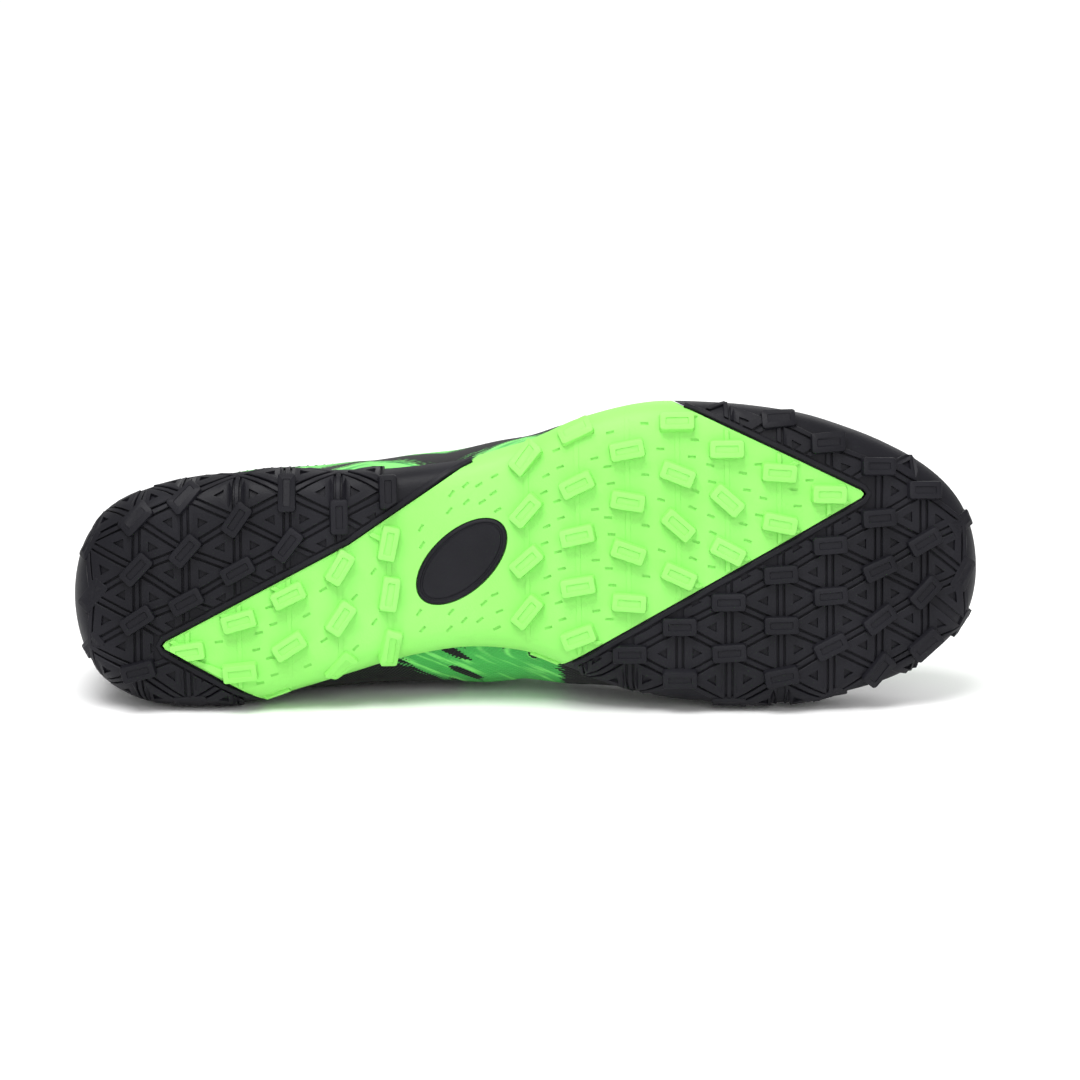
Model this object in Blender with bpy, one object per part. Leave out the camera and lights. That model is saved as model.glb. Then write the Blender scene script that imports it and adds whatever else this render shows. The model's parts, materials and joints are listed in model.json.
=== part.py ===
"""A right turf shoe that lies on its medial side, as it was put down.

The shoe is worked out standing. Its x runs from the back of the heel to the toe, a lateral
offset counts from the line that joins the two, and z is the height over the tread. One
surface, the last, carries the upper, the tongue and the lace. An empty lays the shoe down.
"""

import math
from bisect import bisect_right
from collections import namedtuple

import bmesh
import bpy
from mathutils import Matrix, Vector
from mathutils.bvhtree import BVHTree
from mathutils.geometry import intersect_ray_tri

MM = 0.001
LATERAL, MEDIAL = 1, -1
LATERAL_Y = -1.0  # a right shoe that stands with its toe at +x has its lateral side at -y

# Driving sizes
LENGTH = 290 * MM
BALL_WIDTH = 97.2 * MM
INSTEP_HEIGHT = 97 * MM
HEEL_HEIGHT = 84 * MM
SOLE_EDGE_HEIGHT = 21 * MM
LUG_HEIGHT = 3.5 * MM
LUG_LENGTH = 10.6 * MM
LUG_WIDTH = 5.6 * MM
LUG_PITCH = 16.2 * MM
WALL = 1.8 * MM
THROAT_WIDTH = 40 * MM
TONGUE_THICKNESS = 4.0 * MM
TONGUE_LAP = 9 * MM
TONGUE_TOP_LAP = 3 * MM
TONGUE_RISE = 24 * MM
INSOLE_THICKNESS = 3.5 * MM
BADGE_LENGTH = 34.8 * MM
BADGE_WIDTH = 19.0 * MM
BADGE_DEPTH = 2.2 * MM
LACE_DIAMETER = 2.6 * MM
EYELET_SETBACK = 6.5 * MM

# Clearances and small sizes that several pieces share
GAP = 0.3 * MM
SEAT_GAP = 0.4 * MM
UPPER_SEAT_GAP = 0.9 * MM  # the wall's inner edge leans a little lower than its outer one
FEATHER_INSET = 2.4 * MM
INSOLE_CLEARANCE = 1.8 * MM
TONGUE_CLEARANCE = 1.5 * MM
LACE_CLEARANCE = 1.5 * MM
LUG_ROOT = 1.3 * MM
LUG_DRAFT = 0.7 * MM
LUG_CORNER = 0.9 * MM
EDGE_LUG_LOSS = 0.8  # share of its height that a lug on an upright wall would lose
BADGE_PROUD = 0.4 * MM
EYELET_PAIRS = 6
FAR = 0.2  # well outside the shoe
TONGUE_TOE_STATION, TONGUE_LAP_STATION, TONGUE_TOP_STATION = 0.70, 0.60, 0.425
TONGUE_ON_LAST = 0.78  # share of its rows that lie on the last; the rest stand free
TONGUE_TIP_TAPER = 0.08  # how much narrower its free top is than where it leaves the last
LACE_START_STATION, LACE_END_STATION = 0.625, 0.425
LACE_STEPS = 4
LACE_OVER = 0.45 * MM  # how much higher the upper one of two crossing lengths lies

# How finely each surface is cut
SOLE_RIBS, UPPER_RIBS, UPPER_ROWS, INSOLE_RIBS = 34, 36, 11, 24
TONGUE_ROWS, TONGUE_COLUMNS = 15, 8
BADGE_SIDES = 36
WELD = 1e-6
NUDGE = 0.004  # the small step in angle, station or t that a direction is taken over
HALVINGS = 30
NEAR_CREST = 0.995  # the largest t at which the last still has a clear outward direction
SHARP_EDGE = math.radians(35)
AXIS_START, AXIS_SHARE = 0.10, 0.80
BELLY_AT = 0.34
BELLY_LEAST = 4 * MM  # least height of the belly over the feather edge
LEAVE_OUT, LEAVE_UP, ARRIVE_UP = 0.6, 0.15, 0.5  # the handles of the curve up to the belly
MEDIAL_ENOUGH = 0.9  # cosine to the medial side that the face to lie on must reach

# Plan of the sole: its middle line's swing and its half width, as shares of BALL_WIDTH
Plan = namedtuple("Plan", "station swing half")
SOLE_PLAN = (
    Plan(0.000, -0.053, 0.000),
    Plan(0.021, -0.052, 0.226),
    Plan(0.082, -0.049, 0.344),
    Plan(0.129, -0.043, 0.371),
    Plan(0.196, -0.025, 0.381),
    Plan(0.251, -0.003, 0.360),
    Plan(0.307, 0.021, 0.335),
    Plan(0.362, 0.046, 0.314),
    Plan(0.417, 0.069, 0.308),
    Plan(0.494, 0.093, 0.342),
    Plan(0.566, 0.097, 0.424),
    Plan(0.660, 0.080, 0.490),
    Plan(0.719, 0.066, 0.495),
    Plan(0.791, 0.052, 0.480),
    Plan(0.863, 0.037, 0.428),
    Plan(0.911, 0.026, 0.373),
    Plan(0.959, 0.021, 0.278),
    Plan(0.986, 0.012, 0.180),
    Plan(1.000, 0.000, 0.000),
)

# Side view of the sole: the lift of its underside and the height of its edge,
# as shares of SOLE_EDGE_HEIGHT
Side = namedtuple("Side", "station lift edge")
SOLE_SIDE = (
    Side(0.00, 0.20, 1.00),
    Side(0.03, 0.07, 0.98),
    Side(0.08, 0.00, 0.95),
    Side(0.27, 0.00, 0.90),
    Side(0.37, 0.16, 0.88),
    Side(0.49, 0.16, 0.79),
    Side(0.57, 0.00, 0.69),
    Side(0.76, 0.00, 0.62),
    Side(0.84, 0.09, 0.69),
    Side(0.92, 0.29, 0.86),
    Side(1.00, 0.60, 1.19),
)

# Across the sole, from the middle of its underside round the edge to the middle of its top
Across = namedtuple("Across", "reach rise")
SOLE_SECTION = (
    Across(0.00, 0.00),
    Across(0.40, 0.00),
    Across(0.68, 0.00),
    Across(0.82, 0.07),
    Across(0.91, 0.22),
    Across(0.97, 0.48),
    Across(1.00, 0.78),
    Across(0.985, 1.00),
    Across(0.88, 1.00),
    Across(0.45, 1.00),
    Across(0.00, 1.00),
)
INSOLE_SECTION = (
    Across(0.00, 0.00),
    Across(0.60, 0.00),
    Across(1.00, 0.00),
    Across(1.00, 1.00),
    Across(0.60, 1.00),
    Across(0.00, 1.00),
)

# The last's belly, where each side is widest: how far it stands out over the feather edge, as
# shares of BALL_WIDTH, and its height, as a share of INSTEP_HEIGHT
Belly = namedtuple("Belly", "station lateral medial height")
LAST_BELLY = (
    Belly(0.00, 0.010, 0.010, 0.36),
    Belly(0.08, 0.004, 0.000, 0.36),
    Belly(0.16, 0.000, -0.020, 0.37),
    Belly(0.21, 0.000, -0.004, 0.38),
    Belly(0.26, 0.006, 0.052, 0.39),
    Belly(0.32, 0.032, 0.100, 0.40),
    Belly(0.38, 0.046, 0.142, 0.40),
    Belly(0.45, 0.042, 0.168, 0.38),
    Belly(0.52, 0.020, 0.128, 0.36),
    Belly(0.58, 0.002, 0.072, 0.33),
    Belly(0.66, -0.006, 0.012, 0.30),
    Belly(0.76, -0.006, -0.006, 0.28),
    Belly(0.88, -0.004, -0.004, 0.28),
    Belly(1.00, -0.004, -0.004, 0.32),
)

# The last's crest: the ridge over toe and instep and, behind station 0.41, the leg's top line.
# lean is a share of LENGTH, middle and side are shares of BALL_WIDTH, height of INSTEP_HEIGHT
Crest = namedtuple("Crest", "station lean middle side height")
LAST_CREST = (
    Crest(0.00, 0.045, -0.048, 0.000, 1.155),
    Crest(0.02, 0.033, -0.047, 0.134, 1.155),
    Crest(0.08, 0.010, -0.045, 0.237, 1.155),
    Crest(0.15, 0.000, -0.038, 0.283, 1.155),
    Crest(0.24, -0.005, -0.027, 0.293, 1.158),
    Crest(0.31, -0.010, -0.018, 0.270, 1.165),
    Crest(0.36, -0.020, -0.011, 0.200, 1.165),
    Crest(0.385, -0.022, -0.007, 0.110, 1.155),
    Crest(0.41, -0.022, -0.002, 0.000, 1.125),
    Crest(0.45, -0.021, 0.004, 0.000, 1.055),
    Crest(0.50, -0.018, 0.014, 0.000, 0.965),
    Crest(0.55, -0.013, 0.025, 0.000, 0.875),
    Crest(0.60, -0.009, 0.035, 0.000, 0.790),
    Crest(0.66, -0.004, 0.043, 0.000, 0.695),
    Crest(0.72, 0.000, 0.046, 0.000, 0.618),
    Crest(0.80, -0.003, 0.042, 0.000, 0.550),
    Crest(0.88, -0.013, 0.033, 0.000, 0.506),
    Crest(0.95, -0.048, 0.022, 0.000, 0.480),
    Crest(1.00, -0.092, 0.012, 0.000, 0.465),
)

# How the last rounds over from belly to crest, as shares of the way between them
Round = namedtuple("Round", "station stand crown drop")
LAST_ROUND = (
    Round(0.00, 0.40, 0.00, 0.40),
    Round(0.30, 0.42, 0.00, 0.38),
    Round(0.41, 0.52, 0.50, 0.05),
    Round(0.55, 0.55, 0.52, 0.03),
    Round(0.72, 0.58, 0.56, 0.02),
    Round(1.00, 0.60, 0.60, 0.02),
)

# Where the upper ends: the collar's height, as shares of HEEL_HEIGHT and INSTEP_HEIGHT, and
# half the throat's opening, as a share of THROAT_WIDTH
Edge = namedtuple("Edge", "station heel instep throat")
UPPER_EDGE = (
    Edge(0.00, 1.00, 0.00, 0.00),
    Edge(0.08, 0.95, 0.00, 0.00),
    Edge(0.15, 0.83, 0.00, 0.00),
    Edge(0.21, 0.68, 0.07, 0.00),
    Edge(0.28, 0.35, 0.38, 0.00),
    Edge(0.33, 0.10, 0.71, 0.10),
    Edge(0.37, 0.00, 0.93, 0.40),
    Edge(0.40, 0.00, 1.03, 0.50),
    Edge(0.43, 0.00, 1.40, 0.48),
    Edge(0.52, 0.00, 1.40, 0.38),
    Edge(0.60, 0.00, 1.40, 0.30),
    Edge(0.640, 0.00, 1.40, 0.20),
    Edge(0.665, 0.00, 1.40, 0.00),
    Edge(1.00, 0.00, 1.40, 0.00),
)

# The lug columns from heel to toe: first is the most lateral lug's offset, as a share of
# BALL_WIDTH, and each heading is one lug's angle to the shoe's length, in degrees
LugColumn = namedtuple("LugColumn", "station first headings")
LUG_COLUMNS = (
    LugColumn(0.022, 0.130, (60, 50, 40)),
    LugColumn(0.074, 0.216, (45, 46, 32, 15)),
    LugColumn(0.128, 0.274, (45, 48, 27, 8, 5)),
    LugColumn(0.185, 0.206, (55, 28, 15, 5)),
    LugColumn(0.240, 0.288, (90, 52, 25, 32, 15)),
    LugColumn(0.296, 0.210, (90, 58, 55, 50)),
    LugColumn(0.350, 0.285, (90, 78, 80, 75)),
    LugColumn(0.502, 0.386, (48, 48, 40, 50)),
    LugColumn(0.558, 0.470, (25, 25, 12, 9, 20)),
    LugColumn(0.613, 0.414, (10, -10, -20, -5, 0)),
    LugColumn(0.668, 0.500, (0, -22, -42, -25, 0, 0)),
    LugColumn(0.722, 0.412, (0, -42, -28, 0, 3, 0)),
    LugColumn(0.779, 0.500, (4, -5, -12, 3, 0, 10)),
    LugColumn(0.833, 0.426, (0, -2, 3, 3, 25, 40)),
    LugColumn(0.887, 0.344, (0, 3, 22, 35, 50)),
    LugColumn(0.938, 0.262, (0, 28, 45, 40)),
    LugColumn(0.982, 0.150, (30, 60, 70)),
)

# The slanting centre piece of the outsole: corners as shares of LENGTH and BALL_WIDTH. The two
# tips lie inside the sole, and the lines between tip and edge run on past the edge.
Corner = namedtuple("Corner", "station offset")
HEEL_TIP = Corner(0.096, -0.204)
HEEL_BEND = Corner(0.307, 0.117)
LATERAL_HEEL_END = Corner(0.518, 0.530)
LATERAL_TOE_END = Corner(0.600, 0.660)
TOE_BEND = Corner(0.800, 0.372)
TOE_TIP = Corner(0.877, 0.257)
MEDIAL_TOE_END = Corner(0.476, -0.396)
MEDIAL_HEEL_END = Corner(0.270, -0.500)
DIVIDE_SETBACK = 0.64 * MM  # along the length, which leaves GAP square to the slanting lines
TIP_ROUND = 2.5 * MM
TIP_CUT = 0.3  # share of the way back to the sharp corner at which the round's middle lies

BADGE_AT = Corner(0.430, 0.055)
BADGE_HEADING = 41.7

# Colour, roughness and metallic value of each material
Finish = namedtuple("Finish", "name colour roughness metallic")
BLACK_RUBBER = Finish("black_rubber", (0.020, 0.021, 0.024, 1), 0.55, 0.0)
GREEN_RUBBER = Finish("green_rubber", (0.33, 1.0, 0.18, 1), 0.45, 0.0)
PRINTED_MESH = Finish("printed_mesh", (0.018, 0.018, 0.020, 1), 0.75, 0.0)
TONGUE_CLOTH = Finish("tongue_cloth", (0.022, 0.022, 0.024, 1), 0.85, 0.0)
SOCK_CLOTH = Finish("sock_cloth", (0.030, 0.030, 0.032, 1), 0.90, 0.0)
LACE_CLOTH = Finish("lace_cloth", (0.26, 0.90, 0.16, 1), 0.80, 0.0)


def angle_of(station):
    """The rib angle of a station, which spreads the stations out at heel and toe."""
    return math.acos(min(1.0, max(-1.0, 1 - 2 * station)))


class Course:
    """A value along the shoe, smooth through the rows of a table and with no overshoot."""

    def __init__(self, rows, column, scale):
        self.angles = [angle_of(row.station) for row in rows]
        self.values = [getattr(row, column) * scale for row in rows]
        steps = [b - a for a, b in zip(self.angles, self.angles[1:])]
        rises = [(b - a) / step for a, b, step in zip(self.values, self.values[1:], steps)]
        self.slopes = [rises[0]]
        for before, after in zip(rises, rises[1:]):
            same_way = before * after > 0
            self.slopes.append(2 * before * after / (before + after) if same_way else 0.0)
        self.slopes.append(rises[-1])

    def __call__(self, station):
        angle = angle_of(station)
        i = min(max(bisect_right(self.angles, angle) - 1, 0), len(self.angles) - 2)
        step = self.angles[i + 1] - self.angles[i]
        t = (angle - self.angles[i]) / step
        start, end = self.values[i], self.values[i + 1]
        leave, arrive = self.slopes[i] * step, self.slopes[i + 1] * step
        blend = t * t * (3 - 2 * t)
        return start + (end - start) * blend + t * (1 - t) * ((1 - t) * leave - t * arrive)


swing = Course(SOLE_PLAN, "swing", BALL_WIDTH)
half_width = Course(SOLE_PLAN, "half", BALL_WIDTH)
lift = Course(SOLE_SIDE, "lift", SOLE_EDGE_HEIGHT)
edge_height = Course(SOLE_SIDE, "edge", SOLE_EDGE_HEIGHT)
overhang = {
    LATERAL: Course(LAST_BELLY, "lateral", BALL_WIDTH),
    MEDIAL: Course(LAST_BELLY, "medial", BALL_WIDTH),
}
belly_height = Course(LAST_BELLY, "height", INSTEP_HEIGHT)
crest_lean = Course(LAST_CREST, "lean", LENGTH)
crest_middle = Course(LAST_CREST, "middle", BALL_WIDTH)
crest_side = Course(LAST_CREST, "side", BALL_WIDTH)
crest_height = Course(LAST_CREST, "height", INSTEP_HEIGHT)
round_stand = Course(LAST_ROUND, "stand", 1)
round_crown = Course(LAST_ROUND, "crown", 1)
round_drop = Course(LAST_ROUND, "drop", 1)
collar_heel = Course(UPPER_EDGE, "heel", HEEL_HEIGHT)
collar_instep = Course(UPPER_EDGE, "instep", INSTEP_HEIGHT)
throat_half = Course(UPPER_EDGE, "throat", THROAT_WIDTH)


def place(x, lateral, z):
    """A point of the standing shoe from its distance from the heel, lateral offset and height."""
    return Vector((x, LATERAL_Y * lateral, z))


def lateral_of(point):
    return point.y * LATERAL_Y


def station_of(x):
    return min(1.0, max(0.0, x / LENGTH))


def underside(x):
    """The height of the sole's underside, without its lugs, along the middle."""
    return LUG_HEIGHT + lift(station_of(x))


def sole_top(x):
    return edge_height(station_of(x))


def outline(side, station, inset):
    """(x, lateral offset) on one side of the sole's outline, moved in square to it by inset."""
    angle = angle_of(station)
    before = max(angle - NUDGE, 0.0)
    after = min(angle + NUDGE, math.pi)

    def at(turn):
        along = (1 - math.cos(turn)) / 2
        return Vector((along * LENGTH, swing(along) + side * half_width(along)))

    way = (at(after) - at(before)).normalized()
    outward = Vector((-way.y, way.x)) * side
    if angle < NUDGE:
        outward = Vector((-1.0, 0.0))
    if angle > math.pi - NUDGE:
        outward = Vector((1.0, 0.0))
    return at(angle) - outward * inset, outward


def bezier(a, b, c, d, t):
    s = 1 - t
    return a * s**3 + b * (3 * s * s * t) + c * (3 * s * t * t) + d * t**3


def last_point(side, station, t):
    """A point of the last's outside, from the feather edge at t = 0 over the belly to the crest."""
    plan, outward = outline(side, station, FEATHER_INSET)
    feather = place(plan.x, plan.y, sole_top(plan.x) + UPPER_SEAT_GAP)
    wide = plan + outward * overhang[side](station)
    belly = place(wide.x, wide.y, max(belly_height(station), feather.z + BELLY_LEAST))
    crest = place(
        station * LENGTH + crest_lean(station),
        crest_middle(station) + side * crest_side(station),
        crest_height(station),
    )
    up = Vector((0, 0, 1))
    if t <= BELLY_AT:
        climb = belly.z - feather.z
        leave = feather.lerp(belly, LEAVE_OUT)
        leave.z = feather.z + LEAVE_UP * climb
        return bezier(feather, leave, belly - up * ARRIVE_UP * climb, belly, t / BELLY_AT)
    climb = crest.z - belly.z
    over = (belly - crest) * round_crown(station)
    over.z = -climb * round_drop(station)
    stand = belly + up * climb * round_stand(station)
    return bezier(belly, stand, crest + over, crest, (t - BELLY_AT) / (1 - BELLY_AT))


def last_outward(side, station, t):
    """The last's outward direction at one of its points."""
    near, far = max(station - NUDGE, 0.0), min(station + NUDGE, 1.0)
    low, high = max(t - NUDGE, 0.0), min(t + NUDGE, 1.0)
    along = last_point(side, far, t) - last_point(side, near, t)
    up = last_point(side, station, high) - last_point(side, station, low)
    return along.cross(up).normalized() * (side * LATERAL_Y * -1)


def furthest(inside):
    """The largest t on a rib, from the belly on, for which inside(t) holds."""
    if inside(1.0):
        return 1.0
    low, high = BELLY_AT, 1.0
    for _ in range(HALVINGS):
        middle = (low + high) / 2
        if inside(middle):
            low = middle
        else:
            high = middle
    return low


def from_middle(point, station):
    return abs(lateral_of(point) - crest_middle(station))


def upper_end(side, station):
    """The rib's t at which the upper ends, at its collar, its throat or the crest."""
    collar = collar_heel(station) + collar_instep(station)
    opening = throat_half(station)

    def covered(t):
        point = last_point(side, station, t)
        return point.z <= collar and from_middle(point, station) >= opening

    return furthest(covered)


def over_instep(station, offset, rise):
    """A point rise over the last, offset to one side of its ridge."""
    side = LATERAL if offset >= 0 else MEDIAL
    t = furthest(lambda t: from_middle(last_point(side, station, t), station) >= abs(offset))
    outward = last_outward(side, station, min(t, NEAR_CREST))
    if abs(offset) < WELD:
        outward.y = 0.0
        outward.normalize()
    return last_point(side, station, t) + outward * rise


def material_of(finish):
    material = bpy.data.materials.new(finish.name)
    material.use_nodes = True
    shader = material.node_tree.nodes["Principled BSDF"]
    shader.inputs["Base Color"].default_value = finish.colour
    shader.inputs["Roughness"].default_value = finish.roughness
    shader.inputs["Metallic"].default_value = finish.metallic
    material.diffuse_color = finish.colour
    return material


def stand(name, mesh, finish=None):
    """A new object from a bmesh. Without a finish it is a cutter or a guide."""
    data = bpy.data.meshes.new(name)
    mesh.to_mesh(data)
    mesh.free()
    item = bpy.data.objects.new(name, data)
    bpy.context.scene.collection.objects.link(item)
    if finish is None:
        item.hide_render = True
        item.display_type = "WIRE"
    else:
        data.materials.append(material_of(finish))
        data.shade_smooth()
        data.set_sharp_from_angle(angle=SHARP_EDGE)
    return item


def skin(point, columns, rows):
    """A mesh over both sides of the shoe from point(side, along, across), shares from 0 to 1."""
    mesh = bmesh.new()
    unit = Matrix.Translation((0.5, 0.5, 0.0))
    for side in (LATERAL, MEDIAL):
        made = bmesh.ops.create_grid(
            mesh, x_segments=columns, y_segments=rows, size=0.5, matrix=unit
        )["verts"]
        for vert in made:
            vert.co = point(side, vert.co.x, vert.co.y)
        faces = {face for vert in made for face in vert.link_faces}
        if side * LATERAL_Y > 0:
            bmesh.ops.reverse_faces(mesh, faces=list(faces))
    bmesh.ops.remove_doubles(mesh, verts=mesh.verts, dist=WELD)
    bmesh.ops.dissolve_degenerate(mesh, edges=mesh.edges, dist=WELD)
    return mesh


def slab(section, inset, columns, height):
    """A closed plate under the foot: section rows across it, height(x, rise) for its heights."""

    def point(side, along, across):
        station = (1 - math.cos(math.pi * along)) / 2
        row = section[round(across * (len(section) - 1))]
        rim, _ = outline(side, station, inset)
        axis_station = AXIS_START + AXIS_SHARE * station
        axis = Vector((axis_station * LENGTH, swing(axis_station)))
        plan = axis.lerp(rim, row.reach)
        return place(plan.x, plan.y, height(plan.x, row.rise))

    mesh = skin(point, columns, len(section) - 1)
    bmesh.ops.recalc_face_normals(mesh, faces=mesh.faces)
    return mesh


def sole_height(x, rise):
    return underside(x) + rise * (sole_top(x) - underside(x))


def insole_height(x, rise):
    return sole_top(x) + SEAT_GAP + rise * INSOLE_THICKNESS


def add_boolean(item, operation, other):
    modifier = item.modifiers.new(operation.lower() + "_" + other.name, "BOOLEAN")
    modifier.operation = operation
    modifier.solver = "EXACT"
    modifier.object = other


def lug_block():
    """One lug at the origin: its crown at z = LUG_HEIGHT, its root under z = 0, drafted sides."""
    mesh = bmesh.new()
    bmesh.ops.create_cube(mesh, size=1.0)
    tall = LUG_HEIGHT + LUG_ROOT
    bmesh.ops.scale(mesh, vec=(LUG_LENGTH, LUG_WIDTH, tall), verts=mesh.verts)
    bmesh.ops.translate(mesh, vec=(0, 0, tall / 2 - LUG_ROOT), verts=mesh.verts)
    upright = [edge for edge in mesh.edges if abs(edge.verts[0].co.z - edge.verts[1].co.z) > WELD]
    bmesh.ops.bevel(
        mesh, geom=upright, offset=LUG_CORNER, segments=1, profile=0.5, affect="EDGES", material=-1
    )
    crown = [vert for vert in mesh.verts if vert.co.z > 0]
    draft = (1 - LUG_DRAFT / LUG_LENGTH, 1 - LUG_DRAFT / LUG_WIDTH, 1)
    bmesh.ops.scale(mesh, vec=draft, verts=crown)
    return mesh


def make_lugs(blank):
    """All lugs, each square to the underside where it stands."""
    surface = BVHTree.FromBMesh(blank)
    block = lug_block()
    block_mesh = bpy.data.meshes.new("lug")
    block.to_mesh(block_mesh)
    block.free()
    mesh = bmesh.new()
    for column in LUG_COLUMNS:
        for i, heading in enumerate(column.headings):
            offset = column.first * BALL_WIDTH - i * LUG_PITCH
            below = place(column.station * LENGTH, offset, -FAR)
            spot, outward, _, _ = surface.ray_cast(below, Vector((0, 0, 1)))
            if spot is None:
                continue
            turn = math.radians(heading)
            long_way = place(math.cos(turn), math.sin(turn), 0)
            long_way = (long_way - outward * long_way.dot(outward)).normalized()
            frame = Matrix((long_way, outward.cross(long_way), outward)).transposed().to_4x4()
            frame.translation = spot
            low = Matrix.Diagonal((1, 1, 1 - EDGE_LUG_LOSS * (1 + outward.z), 1))
            start = len(mesh.verts)
            mesh.from_mesh(block_mesh)
            mesh.verts.ensure_lookup_table()
            bmesh.ops.transform(mesh, matrix=frame @ low, verts=mesh.verts[start:])
    bpy.data.meshes.remove(block_mesh)
    return stand("lugs", mesh)


def plan_point(corner, setback=0.0):
    return place(corner.station * LENGTH + setback, corner.offset * BALL_WIDTH, -FAR)


def rounded(before, tip, after):
    """Three points that round a corner of an outline off."""
    back = (before - tip).normalized()
    ahead = (after - tip).normalized()
    middle = tip + (back + ahead) * TIP_ROUND * TIP_CUT
    return [tip + back * TIP_ROUND, middle, tip + ahead * TIP_ROUND]


def prism(name, points, height=2 * FAR):
    """A cutter with an outline in plan, from its points' height upwards."""
    mesh = bmesh.new()
    face = mesh.faces.new([mesh.verts.new(point) for point in points])
    made = bmesh.ops.extrude_face_region(mesh, geom=[face])["geom"]
    raised = [item for item in made if isinstance(item, bmesh.types.BMVert)]
    bmesh.ops.translate(mesh, vec=(0, 0, height), verts=raised)
    bmesh.ops.recalc_face_normals(mesh, faces=mesh.faces)
    return stand(name, mesh)


def heel_line(setback):
    """The dividing line round the centre piece's heel tip, from lateral to medial."""
    ends = [plan_point(c, setback) for c in (HEEL_BEND, HEEL_TIP, MEDIAL_HEEL_END)]
    return [plan_point(LATERAL_HEEL_END, setback), ends[0], *rounded(*ends), ends[2]]


def toe_line(setback):
    """The dividing line round the centre piece's toe tip, from medial to lateral."""
    ends = [plan_point(c, setback) for c in (MEDIAL_TOE_END, TOE_TIP, TOE_BEND)]
    return [ends[0], *rounded(*ends), ends[2], plan_point(LATERAL_TOE_END, setback)]


def beyond(x, side):
    return place(x, side * FAR, -FAR)


def make_outsole():
    """The outsole's three rubber pieces, cut from one blank with its lugs."""
    heel, toe = heel_line(-DIVIDE_SETBACK), toe_line(DIVIDE_SETBACK)
    behind, ahead = -FAR, LENGTH + FAR
    cutters = (
        prism("heel_zone", [*heel, beyond(heel[-1].x, MEDIAL), beyond(behind, MEDIAL),
                            beyond(behind, LATERAL), beyond(heel[0].x, LATERAL)]),
        prism("centre_zone", [*heel_line(0), *toe_line(0)]),
        prism("toe_zone", [*toe, beyond(toe[-1].x, LATERAL), beyond(ahead, LATERAL),
                           beyond(ahead, MEDIAL), beyond(toe[0].x, MEDIAL)]),
    )
    blank = slab(SOLE_SECTION, 0.0, SOLE_RIBS, sole_height)
    lugs = make_lugs(blank)
    names = ("outsole_heel", "outsole_centre", "outsole_toe")
    finishes = (BLACK_RUBBER, GREEN_RUBBER, BLACK_RUBBER)
    pieces = []
    for name, finish, cutter in zip(names, finishes, cutters):
        piece = stand(name, blank.copy(), finish)
        add_boolean(piece, "UNION", lugs)
        add_boolean(piece, "INTERSECT", cutter)
        pieces.append(piece)
    blank.free()
    return pieces


def ellipse(length, width, z):
    """The badge's outline in plan, at a height."""
    turn = math.radians(BADGE_HEADING)
    points = []
    for i in range(BADGE_SIDES):
        round_about = 2 * math.pi * i / BADGE_SIDES
        along = math.cos(round_about) * length / 2
        aside = math.sin(round_about) * width / 2
        x = BADGE_AT.station * LENGTH + along * math.cos(turn) - aside * math.sin(turn)
        lateral = BADGE_AT.offset * BALL_WIDTH + along * math.sin(turn) + aside * math.cos(turn)
        points.append(place(x, lateral, z))
    return points


def make_badge(centre_piece):
    """The oval badge, let into the centre piece's underside."""
    face = underside(BADGE_AT.station * LENGTH)
    mesh = bmesh.new()
    plate = mesh.faces.new(
        [mesh.verts.new(p) for p in ellipse(BADGE_LENGTH, BADGE_WIDTH, face - BADGE_PROUD)]
    )
    made = bmesh.ops.extrude_face_region(mesh, geom=[plate])["geom"]
    raised = [item for item in made if isinstance(item, bmesh.types.BMVert)]
    bmesh.ops.translate(mesh, vec=(0, 0, BADGE_DEPTH), verts=raised)
    bmesh.ops.recalc_face_normals(mesh, faces=mesh.faces)
    badge = stand("sole_badge", mesh, BLACK_RUBBER)
    wide = ellipse(BADGE_LENGTH + 2 * GAP, BADGE_WIDTH + 2 * GAP, face - LUG_HEIGHT)
    seat = prism("badge_seat", wide, LUG_HEIGHT - BADGE_PROUD + BADGE_DEPTH + GAP)
    add_boolean(centre_piece, "DIFFERENCE", seat)
    return badge


def make_insole():
    inset = FEATHER_INSET + WALL + INSOLE_CLEARANCE
    return stand("insole", slab(INSOLE_SECTION, inset, INSOLE_RIBS, insole_height), SOCK_CLOTH)


def add_wall(item, thickness):
    """Gives a sheet its thickness, inwards from its outside."""
    modifier = item.modifiers.new("wall", "SOLIDIFY")
    modifier.thickness = thickness
    modifier.offset = -1.0
    modifier.use_even_offset = True
    return item


def make_upper():
    """The upper: one wall over the last, open at the collar, the throat and underneath."""
    ends = {}

    def point(side, along, across):
        station = (1 - math.cos(math.pi * along)) / 2
        key = side, round(along * UPPER_RIBS)
        if key not in ends:
            ends[key] = upper_end(side, station)
        return last_point(side, station, across * ends[key])

    return add_wall(stand("upper", skin(point, UPPER_RIBS, UPPER_ROWS), PRINTED_MESH), WALL)


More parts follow.
